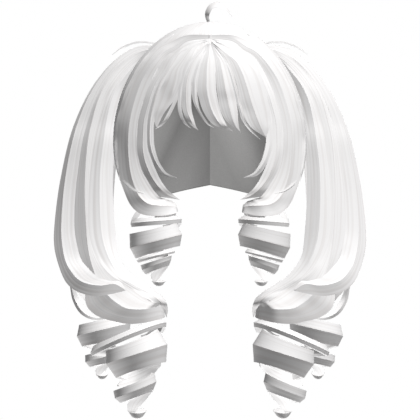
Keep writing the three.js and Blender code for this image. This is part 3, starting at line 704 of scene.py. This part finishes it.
def rim_polar(egg, grow, azimuth, front, drop):
    """Polar angle where a meridian of an egg leaves the piece at its front edge or nape."""

    def kept(polar):
        p = egg_point(egg, polar, azimuth, grow)
        return p.y >= front_y(front, p.z) and p.z >= nape_z(p.x, drop)

    polar = RIM_STEP
    while kept(polar + RIM_STEP) and polar < RIM_LOWEST:
        polar += RIM_STEP
    low, high = polar, polar + RIM_STEP
    for _ in range(RIM_HALVINGS):
        middle = (low + high) / 2
        low, high = (middle, high) if kept(middle) else (low, middle)
    return low


# Places in the photograph

def seen(across, down, y):
    """The point at depth y that the photograph shows at a pixel."""
    half = CAMERA_VIEW_WIDTH / 2 / CAMERA_DISTANCE
    right = (across - PICTURE_MIDDLE) / PICTURE_MIDDLE * half
    up = (PICTURE_MIDDLE - down) / PICTURE_MIDDLE * half
    sine, cosine = math.sin(CAMERA_ELEVATION), math.cos(CAMERA_ELEVATION)
    ray = Vector((right, cosine + up * sine, up * cosine - sine))
    eye = Vector((0, -CAMERA_DISTANCE * cosine, EYE_Z))
    return eye + ray * ((y - eye.y) / ray.y)


def hair_depth(across, down):
    """Depth at which the hair's egg shows at a pixel."""
    y = -HAIR["half_length"] / 2
    for _ in range(DEPTH_STEPS):
        place = seen(across, down, y)
        level = (place.z - HAIR["widest_z"]) / reach_at(HAIR, place.z)
        inside = 1 - (place.x / HAIR["half_width"]) ** 2 - level**2
        y = -HAIR["half_length"] * math.sqrt(max(0, inside))
    return y


# Meshes

def tube(columns, rings):
    """A closed upright tube, with the ring and column of each vertex."""
    bm = bmesh.new()
    bmesh.ops.create_cone(bm, cap_ends=True, segments=columns, radius1=1, radius2=1, depth=1)
    upright = [e for e in bm.edges if abs(e.verts[0].co.z - e.verts[1].co.z) > 0.5]
    bmesh.ops.subdivide_edges(bm, edges=upright, cuts=rings - 2)
    places = {}
    for v in bm.verts:
        turn = math.atan2(v.co.x, v.co.y) / math.tau
        places[v] = (round((0.5 - v.co.z) * (rings - 1)), round(turn * columns) % columns)
    return bm, places


def shaped(columns, rings, place, sharp_columns=()):
    """A tube moved to place(ring, column), which gives a point and its strand coordinates."""
    bm, places = tube(columns, rings)
    uv = bm.loops.layers.uv.new("strands")
    strand = {}
    for v, (ring, column) in places.items():
        v.co, strand[v] = place(ring, column)
    for face in bm.faces:
        face.smooth = True
        for corner in face.loops:
            corner[uv].uv = strand[corner.vert]
    for edge in bm.edges:
        (ring_a, column_a), (ring_b, column_b) = (places[v] for v in edge.verts)
        if column_a == column_b and column_a in sharp_columns:
            edge.smooth = False
    if bm.calc_volume(signed=True) < 0:
        bmesh.ops.reverse_faces(bm, faces=bm.faces)
    return bm


def together(parts):
    """Several meshes as one."""
    bm = bmesh.new()
    bm.loops.layers.uv.new("strands")
    for part in parts:
        mesh = bpy.data.meshes.new("part")
        part.to_mesh(mesh)
        part.free()
        bm.from_mesh(mesh)
        bpy.data.meshes.remove(mesh)
    return bm


def mirrored(bm):
    copy = bm.copy()
    bmesh.ops.transform(copy, matrix=Matrix.Scale(-1, 4, (1, 0, 0)), verts=copy.verts)
    bmesh.ops.reverse_faces(copy, faces=copy.faces)
    return copy


def piece(name, bm, material):
    """An object from a mesh in millimetres, in place of the part's node of that name."""
    bmesh.ops.scale(bm, vec=(MM, MM, MM), verts=bm.verts)
    mesh = bpy.data.meshes.new(name)
    bm.to_mesh(mesh)
    bm.free()
    mesh.materials.append(material)
    obj = bpy.data.objects.new(f"{name}_look", mesh)
    obj.visible_diffuse = False
    bpy.context.collection.objects.link(obj)
    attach(obj, "root")
    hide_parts(name)


def pair(name, bm, material):
    other = mirrored(bm)
    piece(f"{name}_left", bm, material)
    piece(f"{name}_right", other, material)


# Locks

def lock_outline(peak):
    """Across and out shares round a lock: two facets that meet at a ridge, and a flat underside."""
    outline = []
    for i in range(FRONT_COLUMNS):
        across = 0.5 - i / (FRONT_COLUMNS - 1)
        side = 0.5 - peak if across > peak else 0.5 + peak
        off = abs(across - peak) / side
        fall = (1 - LOCK_ROUNDING) * off + LOCK_ROUNDING * off**5
        outline.append((across, 1 - (1 - LOCK_EDGE) * fall))
    for i in range(UNDER_COLUMNS):
        across = -0.5 + (i + 1) / (UNDER_COLUMNS + 1)
        under = LOCK_EDGE + (LOCK_UNDERSIDE - LOCK_EDGE) * math.cos(math.pi * across)
        outline.append((across, under))
    return outline


def groove_depths(ridge, seed):
    """Depths of the fine grooves between a lock's strands, by column."""
    chance = random.Random(seed)
    free = [i for i in range(2, FRONT_COLUMNS - 2) if abs(i - ridge) > 1]
    return {i: chance.uniform(*GROOVE_DEPTH) for i in chance.sample(free, GROOVES)}


def groove_fade(share, start, end):
    return smoothstep(share, 0, start) * (1 - smoothstep(share, end, 1))


def lock(rows, facing, peak, seed):
    """A lock through rows of x, y, z, width, thickness, with its ridge towards facing(point)."""
    rows, length = evenly(rows)
    rings = len(rows)
    outline = lock_outline(peak)
    ridge = round((0.5 - peak) * (FRONT_COLUMNS - 1))
    grooves = groove_depths(ridge, seed)
    widest = max(row[3] for row in rows)
    start = random.Random(seed + 0.5).uniform(0, STRAND_SHIFT)
    stations = []
    for i, (x, y, z, width, thickness) in enumerate(rows):
        point = Vector((x, y, z))
        along = Vector(rows[min(rings - 1, i + 1)][:3]) - Vector(rows[max(0, i - 1)][:3])
        along.normalize()
        out = facing(point)
        out = (out - along * out.dot(along)).normalized()
        sizes = max(LOCK_LEAST, width), max(LOCK_LEAST, thickness)
        stations.append((point, out.cross(along), out, *sizes))

    def place(ring, column):
        point, across, out, width, thickness = stations[ring]
        across_share, out_share = outline[column]
        share = ring / (rings - 1)
        groove = min(grooves.get(column, 0), GROOVE_OF_THICKNESS * thickness)
        groove *= groove_fade(share, *GROOVE_FADE)
        spot = point + across * (across_share * width) + out * (out_share * thickness - groove)
        return spot, ((start + across_share * widest) * UV_SCALE, share * length * UV_SCALE)

    return shaped(len(outline), rings, place, (0, ridge, FRONT_COLUMNS - 1))


def rails(places, facets, from_hair):
    """Rows of a lock's ridge, left edge and right edge, from its places in the photograph."""
    rows = []
    for i, place in enumerate(places):
        depth, *turns = between(facets, i)
        if from_hair:
            depth += hair_depth(*place[2:4])
        ridge = seen(*place[2:4], depth)
        row = [*ridge]
        for edge, turn in zip((place[:2], place[4:]), turns):
            span = (seen(*edge, depth) - ridge).length
            row.extend(seen(*edge, depth + span * math.tan(math.radians(turn))))
        rows.append(tuple(row))
    return rows


def placed(rows):
    """Rows of a lock's ridge, left edge and right edge, from places with depths of their own."""
    return [(*seen(*row[3:6]), *seen(*row[:3]), *seen(*row[6:])) for row in rows]


def edged_lock(rows, seed):
    """A lock through rows of its ridge, left edge and right edge, with two flat facets."""
    rows, length = evenly(dense(rows))
    rings = len(rows)
    middle = FRONT_COLUMNS // 2
    grooves = groove_depths(middle, seed)
    places = [(Vector(row[:3]), Vector(row[3:6]), Vector(row[6:])) for row in rows]
    widest = max((left - right).length for _, left, right in places)
    start = random.Random(seed + 0.5).uniform(0, STRAND_SHIFT)
    stations = []
    for i, (ridge, left, right) in enumerate(places):
        along = sum(places[min(rings - 1, i + 1)], Vector()) - sum(places[max(0, i - 1)], Vector())
        wide = left - right
        out = wide.cross(along).normalized()
        share = clamp((ridge - right).dot(wide) / max(0.01, wide.length_squared), *RIDGE_SHARES)
        height = (ridge - right.lerp(left, share)).dot(out)
        stations.append((ridge, left, right, out, share, height))
    front = 1 if sum(station[5] for station in stations) > 0 else -1

    def place(ring, column):
        ridge, left, right, out, ridge_share, height = stations[ring]
        out = out * front
        height = height * front
        width = (left - right).length
        share = ring / (rings - 1)
        if column < FRONT_COLUMNS:
            off = column / middle - 1
            edge = right if off < 0 else left
            groove = min(grooves.get(column, 0), GROOVE_OF_WIDTH * width)
            groove *= groove_fade(share, *GROOVE_FADE)
            spot = ridge.lerp(edge, abs(off)) - out * groove
            across = 0.5 * off
        else:
            across = 0.5 - (column - FRONT_COLUMNS + 1) / (UNDER_COLUMNS + 1)
            near = across + 0.5
            sag = height * min(near / ridge_share, (1 - near) / (1 - ridge_share))
            bulge = max(UNDERSIDE_BULGE * abs(height), UNDERSIDE_LEAST * width)
            spot = right.lerp(left, near) + out * (min(0, sag) - bulge * math.cos(math.pi * across))
        return spot, ((start + across * widest) * UV_SCALE, share * length * UV_SCALE)

    return shaped(FRONT_COLUMNS + UNDER_COLUMNS, rings, place, (0, middle, FRONT_COLUMNS - 1))


def away_from(axis):
    return lambda p: Vector((p.x - axis[0], p.y - axis[1], 0)).normalized()


def turning(first, second, heights):
    """Turns a lock from one way of facing to another as it comes down past two heights."""
    return lambda p: first(p).lerp(second(p), smoothstep(-p.z, -heights[0], -heights[1]))


def radial(turn):
    angle = math.tau * turn
    return Vector((-math.sin(angle), -math.cos(angle), 0))


# Curls

def curl_outline():
    """Share from the upper edge (0) over the ridge (1) to the lower edge (2), and depth in the wall."""
    outer = [(i / CURL_FACET_COLUMNS, 0) for i in range(2 * CURL_FACET_COLUMNS + 1)]
    inner = [(2 - i / CURL_INNER_COLUMNS, 1) for i in range(2 * CURL_INNER_COLUMNS + 1)]
    return outer + inner


def band_rows(axis, places):
    """Rows of turn, then height and radius of a band's ridge, upper edge and lower edge."""
    rows = []
    for turn, *place in places:
        row = [turn]
        for across, down in (place[2:4], place[:2], place[4:]):
            spot = seen(across, down, axis[1])
            row += [spot.z, abs(spot.x - axis[0])]
        rows.append(row)
    return rows


def wound(rows, turn):
    """Row of a curl at a turn: between two rows half a turn apart, its edges keep to a plane."""
    i = clamp(sum(turn >= row[0] for row in rows) - 1, 0, len(rows) - 2)
    share = (turn - rows[i][0]) / (rows[i + 1][0] - rows[i][0])
    return mix(rows[i], rows[i + 1], (1 - math.cos(math.pi * share)) / 2)


def curl_band(axis, rows, seed):
    """A ribbon of two flat facets, wound down the axis of a curl."""
    turns = [row[0] for row in rows]
    rings = max(CURL_LEAST_RINGS, round((turns[-1] - turns[0]) * CURL_RINGS_PER_TURN))
    outline = curl_outline()
    chance = random.Random(seed)
    grooved = chance.sample(CURL_GROOVE_COLUMNS, CURL_GROOVES)
    grooves = {i: chance.uniform(*CURL_GROOVE_DEPTH) for i in grooved}
    start = chance.uniform(0, STRAND_SHIFT)
    least_radius, least_share = CURL_INNER_LEAST
    strand_width, strand_length = CURL_STRANDS

    def place(ring, column):
        share = ring / (rings - 1)
        turn = turns[0] + share * (turns[-1] - turns[0])
        _, ridge_z, ridge_r, top_z, top_r, low_z, low_r = wound(rows, turn)
        across, depth = outline[column]
        if turn < CURL_TUCK_TURNS:
            low_r -= CURL_TUCK * (ridge_z - low_z) * max(0, math.cos(math.tau * turn))
        edge = (top_z, top_r) if across < 1 else (low_z, low_r)
        off = abs(across - 1)
        z = ridge_z + (edge[0] - ridge_z) * off
        radius = ridge_r + (edge[1] - ridge_r) * off
        radius -= grooves.get(column, 0) * groove_fade(share, *CURL_GROOVE_FADE)
        if depth:
            radius = max(least_radius, least_share * radius, radius - CURL_WALL)
            z = ridge_z + (edge[0] - ridge_z) * off * CURL_INNER_HEIGHT
        z += (EYE_Z - z) / CAMERA_DISTANCE * radius * math.cos(math.tau * turn)
        spot = Vector((axis[0], axis[1], z)) + radial(turn) * radius
        return spot, ((start + across * strand_width) * UV_SCALE, turn * strand_length * UV_SCALE)

    lower = 2 * CURL_FACET_COLUMNS
    sharp = (0, CURL_FACET_COLUMNS, lower, lower + 1, len(outline) - 1)
    return shaped(len(outline), rings, place, sharp)


def curl_tip(axis, tip, seed):
    """The rounded end of a curl: a bowl that hangs from the last turn, its rim lower at the front."""
    middle = seen(*tip["middle"], axis[1])
    rings = len(TIP_PROFILE)

    def place(ring, column):
        turn = column / TIP_COLUMNS
        share, drop = TIP_PROFILE[ring]
        reach = tip["radius"] * share
        front = math.cos(math.tau * turn)
        depth = tip["depth"] * (TIP_BACK_DEPTH + (1 - TIP_BACK_DEPTH) * max(0, front))
        spot = middle + radial(turn) * reach
        spot.z -= depth * drop + tip["lean"] * reach * front
        return spot, ((seed + turn * TIP_STRANDS) * UV_SCALE, -spot.z * UV_SCALE)

    return shaped(TIP_COLUMNS, rings, place)


def curl(form, seed):
    parts = []
    for i, band in enumerate(form["bands"]):
        axis = band.get("axis", form["axis"])
        parts.append(curl_band(axis, band_rows(axis, band["rows"]), seed + i))
    for i, rows in enumerate(form["sheets"]):
        parts.append(edged_lock(placed(rows), seed + SHEET_SEED + i))
    parts.append(curl_tip(form["axis"], form["tip"], seed))
    return together(parts)


# Pieces

def shell(columns, rings, outside, inside, rim_outside, rim_inside, sharp_columns=()):
    """An open-bottomed shell: its outside from crown to rim, then its inside back to the crown."""
    azimuths = [math.tau * (i / columns) - math.pi for i in range(columns)]
    outer_rims = [rim_outside(a) for a in azimuths]
    inner_rims = [rim_inside(a) for a in azimuths]

    def place(ring, column):
        azimuth = azimuths[column]
        steps = min(ring, 2 * rings - 1 - ring)
        share = min(1, 1 + SHELL_PINHOLE - (1 - steps / (rings - 1)) ** SHELL_EASE)
        if ring < rings:
            spot = outside(column, share, outer_rims[column], azimuth)
        else:
            spot = inside(column, share, inner_rims[column], azimuth)
        return spot, (azimuth * SHELL_STRANDS[0] * UV_SCALE, share * SHELL_STRANDS[1] * UV_SCALE)

    return shaped(columns, 2 * rings, place, sharp_columns)


def crown_hair():
    columns = CROWN_LOCKS * CROWN_LOCK_COLUMNS
    ridge = round(CROWN_RIDGE * CROWN_LOCK_COLUMNS)
    chance = random.Random(SEED["crown"])
    grooves = [chance.choice(CROWN_GROOVES) for _ in range(columns)]

    def rim(azimuth):
        return rim_polar(HAIR, 0, azimuth, CROWN_FRONT, NAPE["hair_drop"])

    def inner_rim(azimuth):
        return rim_polar(HEAD, CAP_WALL + HAIR_GAP, azimuth, CROWN_LINING_FRONT, NAPE["hair_drop"])

    def outside(column, share, rim_at, azimuth):
        polar = share * rim_at
        place = column % CROWN_LOCK_COLUMNS
        if place <= ridge:
            height = place / ridge
        else:
            height = (CROWN_LOCK_COLUMNS - place) / (CROWN_LOCK_COLUMNS - ridge)
        fade = math.sin(min(polar, math.pi / 2)) ** 2 * smoothstep(abs(azimuth), *CROWN_SMOOTH_FRONT)
        sunk = CROWN_VALLEY * fade * (1 - height**CROWN_FULLNESS)
        if 0 < place != ridge:
            sunk += grooves[column] * fade
        return egg_point(HAIR, polar, azimuth, -sunk)

    def inside(column, share, rim_at, azimuth):
        return egg_point(HEAD, share * rim_at, azimuth, CAP_WALL + HAIR_GAP)

    sharp = [i for i in range(columns) if i % CROWN_LOCK_COLUMNS in (0, ridge)]
    return shell(columns, CROWN_RINGS, outside, inside, rim, inner_rim, sharp)


def cap():
    def rim(azimuth):
        return rim_polar(HEAD, 0, azimuth, CAP_FRONT, 0)

    def outside(column, share, rim_at, azimuth):
        return egg_point(HEAD, share * rim_at, azimuth, CAP_WALL)

    def inside(column, share, rim_at, azimuth):
        return egg_point(HEAD, share * rim_at, azimuth, 0)

    return shell(CAP_COLUMNS, CAP_RINGS, outside, inside, rim, rim)


def fringe_backing():
    """The sheet of hair that the fringe's locks lie on."""
    rows = [(-z, half_width) for z, half_width in FRINGE_BACKING]
    knots = [row[0] for row in rows]

    def place(ring, column):
        share = ring / (BACKING_RINGS - 1)
        depth, half_width = cubic(rows, knots, knots[0] + (knots[-1] - knots[0]) * share)
        back = column >= BACKING_COLUMNS
        across = 2 * BACKING_COLUMNS - 1 - column if back else column
        x = half_width * (1 - 2 * across / (BACKING_COLUMNS - 1))
        inset = BACKING_INSET - BACKING_WALL if back else BACKING_INSET
        return on_hair(x, -depth, inset), (x * UV_SCALE, depth * UV_SCALE)

    return shaped(2 * BACKING_COLUMNS, BACKING_RINGS, place)


def fringe():
    parts = [fringe_backing()]
    for i, form in enumerate(FRINGE):
        places = [(left, down, ridge, down, right, down) for down, left, ridge, right in form["level"]]
        rows = rails(places, form["facets"], from_hair=True)
        parts.append(edged_lock(rows, SEED["fringe"] + i))
    return together(parts)


def side_lock():
    rows = [rails(**form, from_hair=True) for form in (SIDE, CHEEK_OUTER, CHEEK_INNER)]
    rows.append(rails(**WISP, from_hair=False))
    return together([edged_lock(lock_rows, SEED["side"] + i) for i, lock_rows in enumerate(rows)])


def pigtail_lock(form, seed):
    """One lock of the pigtail, offset from the spine and then swept to its own end."""
    fullest = PIGTAIL_SPINE[-1][3]
    rows = []
    for x, y, z, half_width, half_depth in PIGTAIL_SPINE:
        x += form["across"] * half_width
        y += form["depth"] * half_depth
        rows.append((x, y, z, half_width / fullest))
    rows += form["sweep"]
    rows = [(x, y, z, form["width"] * s, form["thickness"] * min(1, s)) for x, y, z, s in rows]
    off_bundle = Vector((form["across"], form["depth"], 0)).normalized()
    facing = turning(lambda p: off_bundle, away_from(form["curl"]["axis"]), PIGTAIL_TURN_Z)
    return lock(dense(rows), facing, form["peak"], seed)


def pigtail_core():
    rows = []
    for x, y, z, half_width, half_depth in [*PIGTAIL_SPINE, PIGTAIL_CORE_END]:
        width = 2 * PIGTAIL_CORE_SHARE * half_width
        depth = 2 * PIGTAIL_CORE_SHARE * half_depth
        rows.append((x, y + depth / 2, z, width, depth))
    return lock(dense(rows), lambda p: Vector((0, -1, 0)), 0, SEED["core"])


def pigtail():
    parts = [pigtail_core()]
    for i, form in enumerate(PIGTAIL_LOCKS):
        parts.append(pigtail_lock(form, SEED["tail_back"] + i))
    front = [rails(**form, from_hair=False) for form in (TAIL_OUTER, TAIL_MIDDLE, TAIL_INNER)]
    front += [placed(TAIL_ARC), placed(TAIL_STRAND)]
    for i, rows in enumerate(front):
        parts.append(edged_lock(rows, SEED["tail_front"] + i))
    return together(parts)


def sprig():
    edge_depth = SPRIG["edge_depth"]
    rows = []
    for outer_x, outer_y, inner_x, inner_y, ridge_depth in SPRIG["rows"]:
        ridge = mix((outer_x, outer_y), (inner_x, inner_y), 1 + SPRIG["lap"])
        rows.append((outer_x, outer_y, edge_depth, *ridge, ridge_depth, inner_x, inner_y, edge_depth))
    return edged_lock(placed(rows), SEED["sprig"])


# Materials

def feed(tree, made, inputs):
    """Sets a node's inputs, each to a value or from another node's output."""
    for name, value in inputs.items():
        if isinstance(value, bpy.types.NodeSocket):
            tree.links.new(value, made.inputs[name])
        else:
            made.inputs[name].default_value = value


def node(tree, kind, inputs, **settings):
    made = tree.nodes.new(kind)
    for name, value in settings.items():
        setattr(made, name, value)
    feed(tree, made, inputs)
    return made


def ramp(tree, along, stops):
    """Colour at a value, through stops of position and colour."""
    made = node(tree, "ShaderNodeValToRGB", {"Fac": along})
    elements = made.color_ramp.elements
    while len(elements) < len(stops):
        elements.new(0.5)
    for element, (position, color) in zip(elements, stops):
        element.position = position
        element.color = color
    return made.outputs["Color"]


def new_material(name):
    material = bpy.data.materials.new(name)
    material.use_nodes = True
    tree = material.node_tree
    return material, tree, tree.nodes["Principled BSDF"]


def hair_material():
    material, tree, shader = new_material("white_hair")
    strands = node(tree, "ShaderNodeUVMap", {}, uv_map="strands").outputs["UV"]

    def streaks(across, along, detail):
        stretch = node(tree, "ShaderNodeMapping", {"Vector": strands, "Scale": (across, along, 1)})
        inputs = {"Vector": stretch.outputs["Vector"], "Scale": 1, "Detail": detail}
        return node(tree, "ShaderNodeTexNoise", inputs, noise_dimensions="2D").outputs["Fac"]

    fine = streaks(**FINE_STREAKS)
    broad = streaks(**BROAD_STREAKS)
    gloss = node(tree, "ShaderNodeMapRange", {"Value": fine, "To Min": 0.5, "To Max": 0.68})
    bump = node(tree, "ShaderNodeBump", {"Height": fine, "Strength": 0.1, "Distance": 0.4 * MM})
    feed(tree, shader, {
        "Base Color": ramp(tree, broad, HAIR_TINT),
        "Roughness": gloss.outputs["Result"],
        "Normal": bump.outputs["Normal"],
        "Specular IOR Level": 0.15,
    })
    return material


# Painted shade for one half of the cap's inside: a ramp of grey tones along the slope.
def painted_cap_shade(tree, along, shade_tones):
    stops = [(position, (tone, 0.99 * tone, 0.98 * tone, 1)) for position, tone in shade_tones]
    return ramp(tree, along, stops)


def cap_material():
    material, tree, shader = new_material("cap_net")
    place = node(tree, "ShaderNodeTexCoord", {}).outputs["Object"]
    net = {"Vector": place, "Scale": NET_CELLS}
    cells = node(tree, "ShaderNodeTexVoronoi", net, feature="DISTANCE_TO_EDGE").outputs["Distance"]

    # Painted shade: a slope that runs up and out from the middle of the cap.
    spot = node(tree, "ShaderNodeSeparateXYZ", {"Vector": place}).outputs
    aside = node(tree, "ShaderNodeMath", {0: spot["X"]}, operation="ABSOLUTE").outputs["Value"]
    rise = {0: spot["Z"], 1: CAP_SHADE_SLOPE["rise"], 2: aside}
    slope = node(tree, "ShaderNodeMath", rise, operation="MULTIPLY_ADD").outputs["Value"]
    lift = CAP_SHADE_SLOPE["rise"] * CAP_SHADE_SLOPE["level"]
    ends = {"From Min": (CAP_SHADE_SLOPE["inner"] + lift) * MM, "From Max": (CAP_SHADE_SLOPE["outer"] + lift) * MM}
    along = node(tree, "ShaderNodeMapRange", {"Value": slope, **ends}).outputs["Result"]
    right = node(tree, "ShaderNodeMath", {0: spot["X"], 1: 0}, operation="GREATER_THAN").outputs["Value"]

    # Painted shade: the left half of the cap's inside is painted darker than the right, each half along its
    # own ramp; the net's threads are multiplied over it.
    shade_sides = {
        "Factor": right,
        "A": painted_cap_shade(tree, along, CAP_LEFT_PAINTED_SHADE),
        "B": painted_cap_shade(tree, along, CAP_RIGHT_PAINTED_SHADE),
    }
    painted_shade = node(tree, "ShaderNodeMix", shade_sides, data_type="RGBA").outputs["Result"]
    layers = {"Factor": 1, "A": painted_shade, "B": ramp(tree, cells, NET_THREADS)}
    tone = node(tree, "ShaderNodeMix", layers, data_type="RGBA", blend_type="MULTIPLY")
    bump = node(tree, "ShaderNodeBump", {"Height": cells, "Strength": 0.25, "Distance": 0.5 * MM})
    feed(tree, shader, {
        "Base Color": tone.outputs["Result"],
        "Normal": bump.outputs["Normal"],
        "Roughness": 0.85,
    })
    return material


# Studio

def aimed(obj, target):
    obj.rotation_euler = (target - obj.location).to_track_quat("-Z", "Y").to_euler()


def sun(name, place, strength):
    """A soft light without shadows, shining from a place to the origin."""
    data = bpy.data.lights.new(name, "SUN")
    data.energy = strength
    data.angle = SUN_SOFTNESS
    data.use_shadow = False
    obj = bpy.data.objects.new(name, data)
    bpy.context.collection.objects.link(obj)
    obj.location = place
    aimed(obj, Vector((0, 0, 0)))


def studio():
    aim = Vector((0, 0, CAMERA_AIM_Z * MM))
    data = bpy.data.cameras.new("camera")
    data.sensor_width = SENSOR_WIDTH
    data.lens = SENSOR_WIDTH * CAMERA_DISTANCE / CAMERA_VIEW_WIDTH
    camera = bpy.data.objects.new("camera", data)
    bpy.context.collection.objects.link(camera)
    back = Vector((0, -math.cos(CAMERA_ELEVATION), math.sin(CAMERA_ELEVATION)))
    camera.location = aim + back * CAMERA_DISTANCE * MM
    aimed(camera, aim)
    bpy.context.scene.camera = camera

    sun("key", KEY_FROM, KEY_STRENGTH)
    sun("counter", COUNTER_FROM, COUNTER_STRENGTH)

    world = bpy.data.worlds.new("studio")
    world.use_nodes = True
    sky = world.node_tree.nodes["Background"]
    feed(world.node_tree, sky, {"Color": (1, 1, 1, 1), "Strength": WORLD_STRENGTH})
    bpy.context.scene.world = world
    bpy.context.scene.view_settings.view_transform = "Standard"

    bm = bmesh.new()
    bmesh.ops.create_uvsphere(bm, u_segments=48, v_segments=24, radius=FLOOR_RADIUS * MM)
    for v in bm.verts:
        v.co.z = max(v.co.z, FLOOR_Z * MM)
    mesh = bpy.data.meshes.new("studio_floor")
    bm.to_mesh(mesh)
    bm.free()
    material, tree, shader = new_material("studio_white")
    feed(tree, shader, {
        "Base Color": (0, 0, 0, 1),
        "Specular IOR Level": 0,
        "Emission Color": (1, 1, 1, 1),
        "Emission Strength": 1,
    })
    mesh.materials.append(material)
    floor = bpy.data.objects.new("studio_floor", mesh)
    bpy.context.collection.objects.link(floor)
    floor.visible_diffuse = False
    floor.visible_glossy = False
    floor.visible_shadow = False


studio()
white = hair_material()
net = cap_material()

piece("cap", cap(), net)
piece("crown_hair", crown_hair(), white)
piece("fringe", fringe(), white)
piece("crown_sprig", sprig(), white)
pair("side_lock", side_lock(), white)
pair("side_curl", curl(SIDE_CURL, SEED["side_curl"]), white)
pair("pigtail", pigtail(), white)
pair("front_curl", curl(FRONT_CURL, SEED["front_curl"]), white)
pair("back_curl", curl(BACK_CURL, SEED["back_curl"]), white)
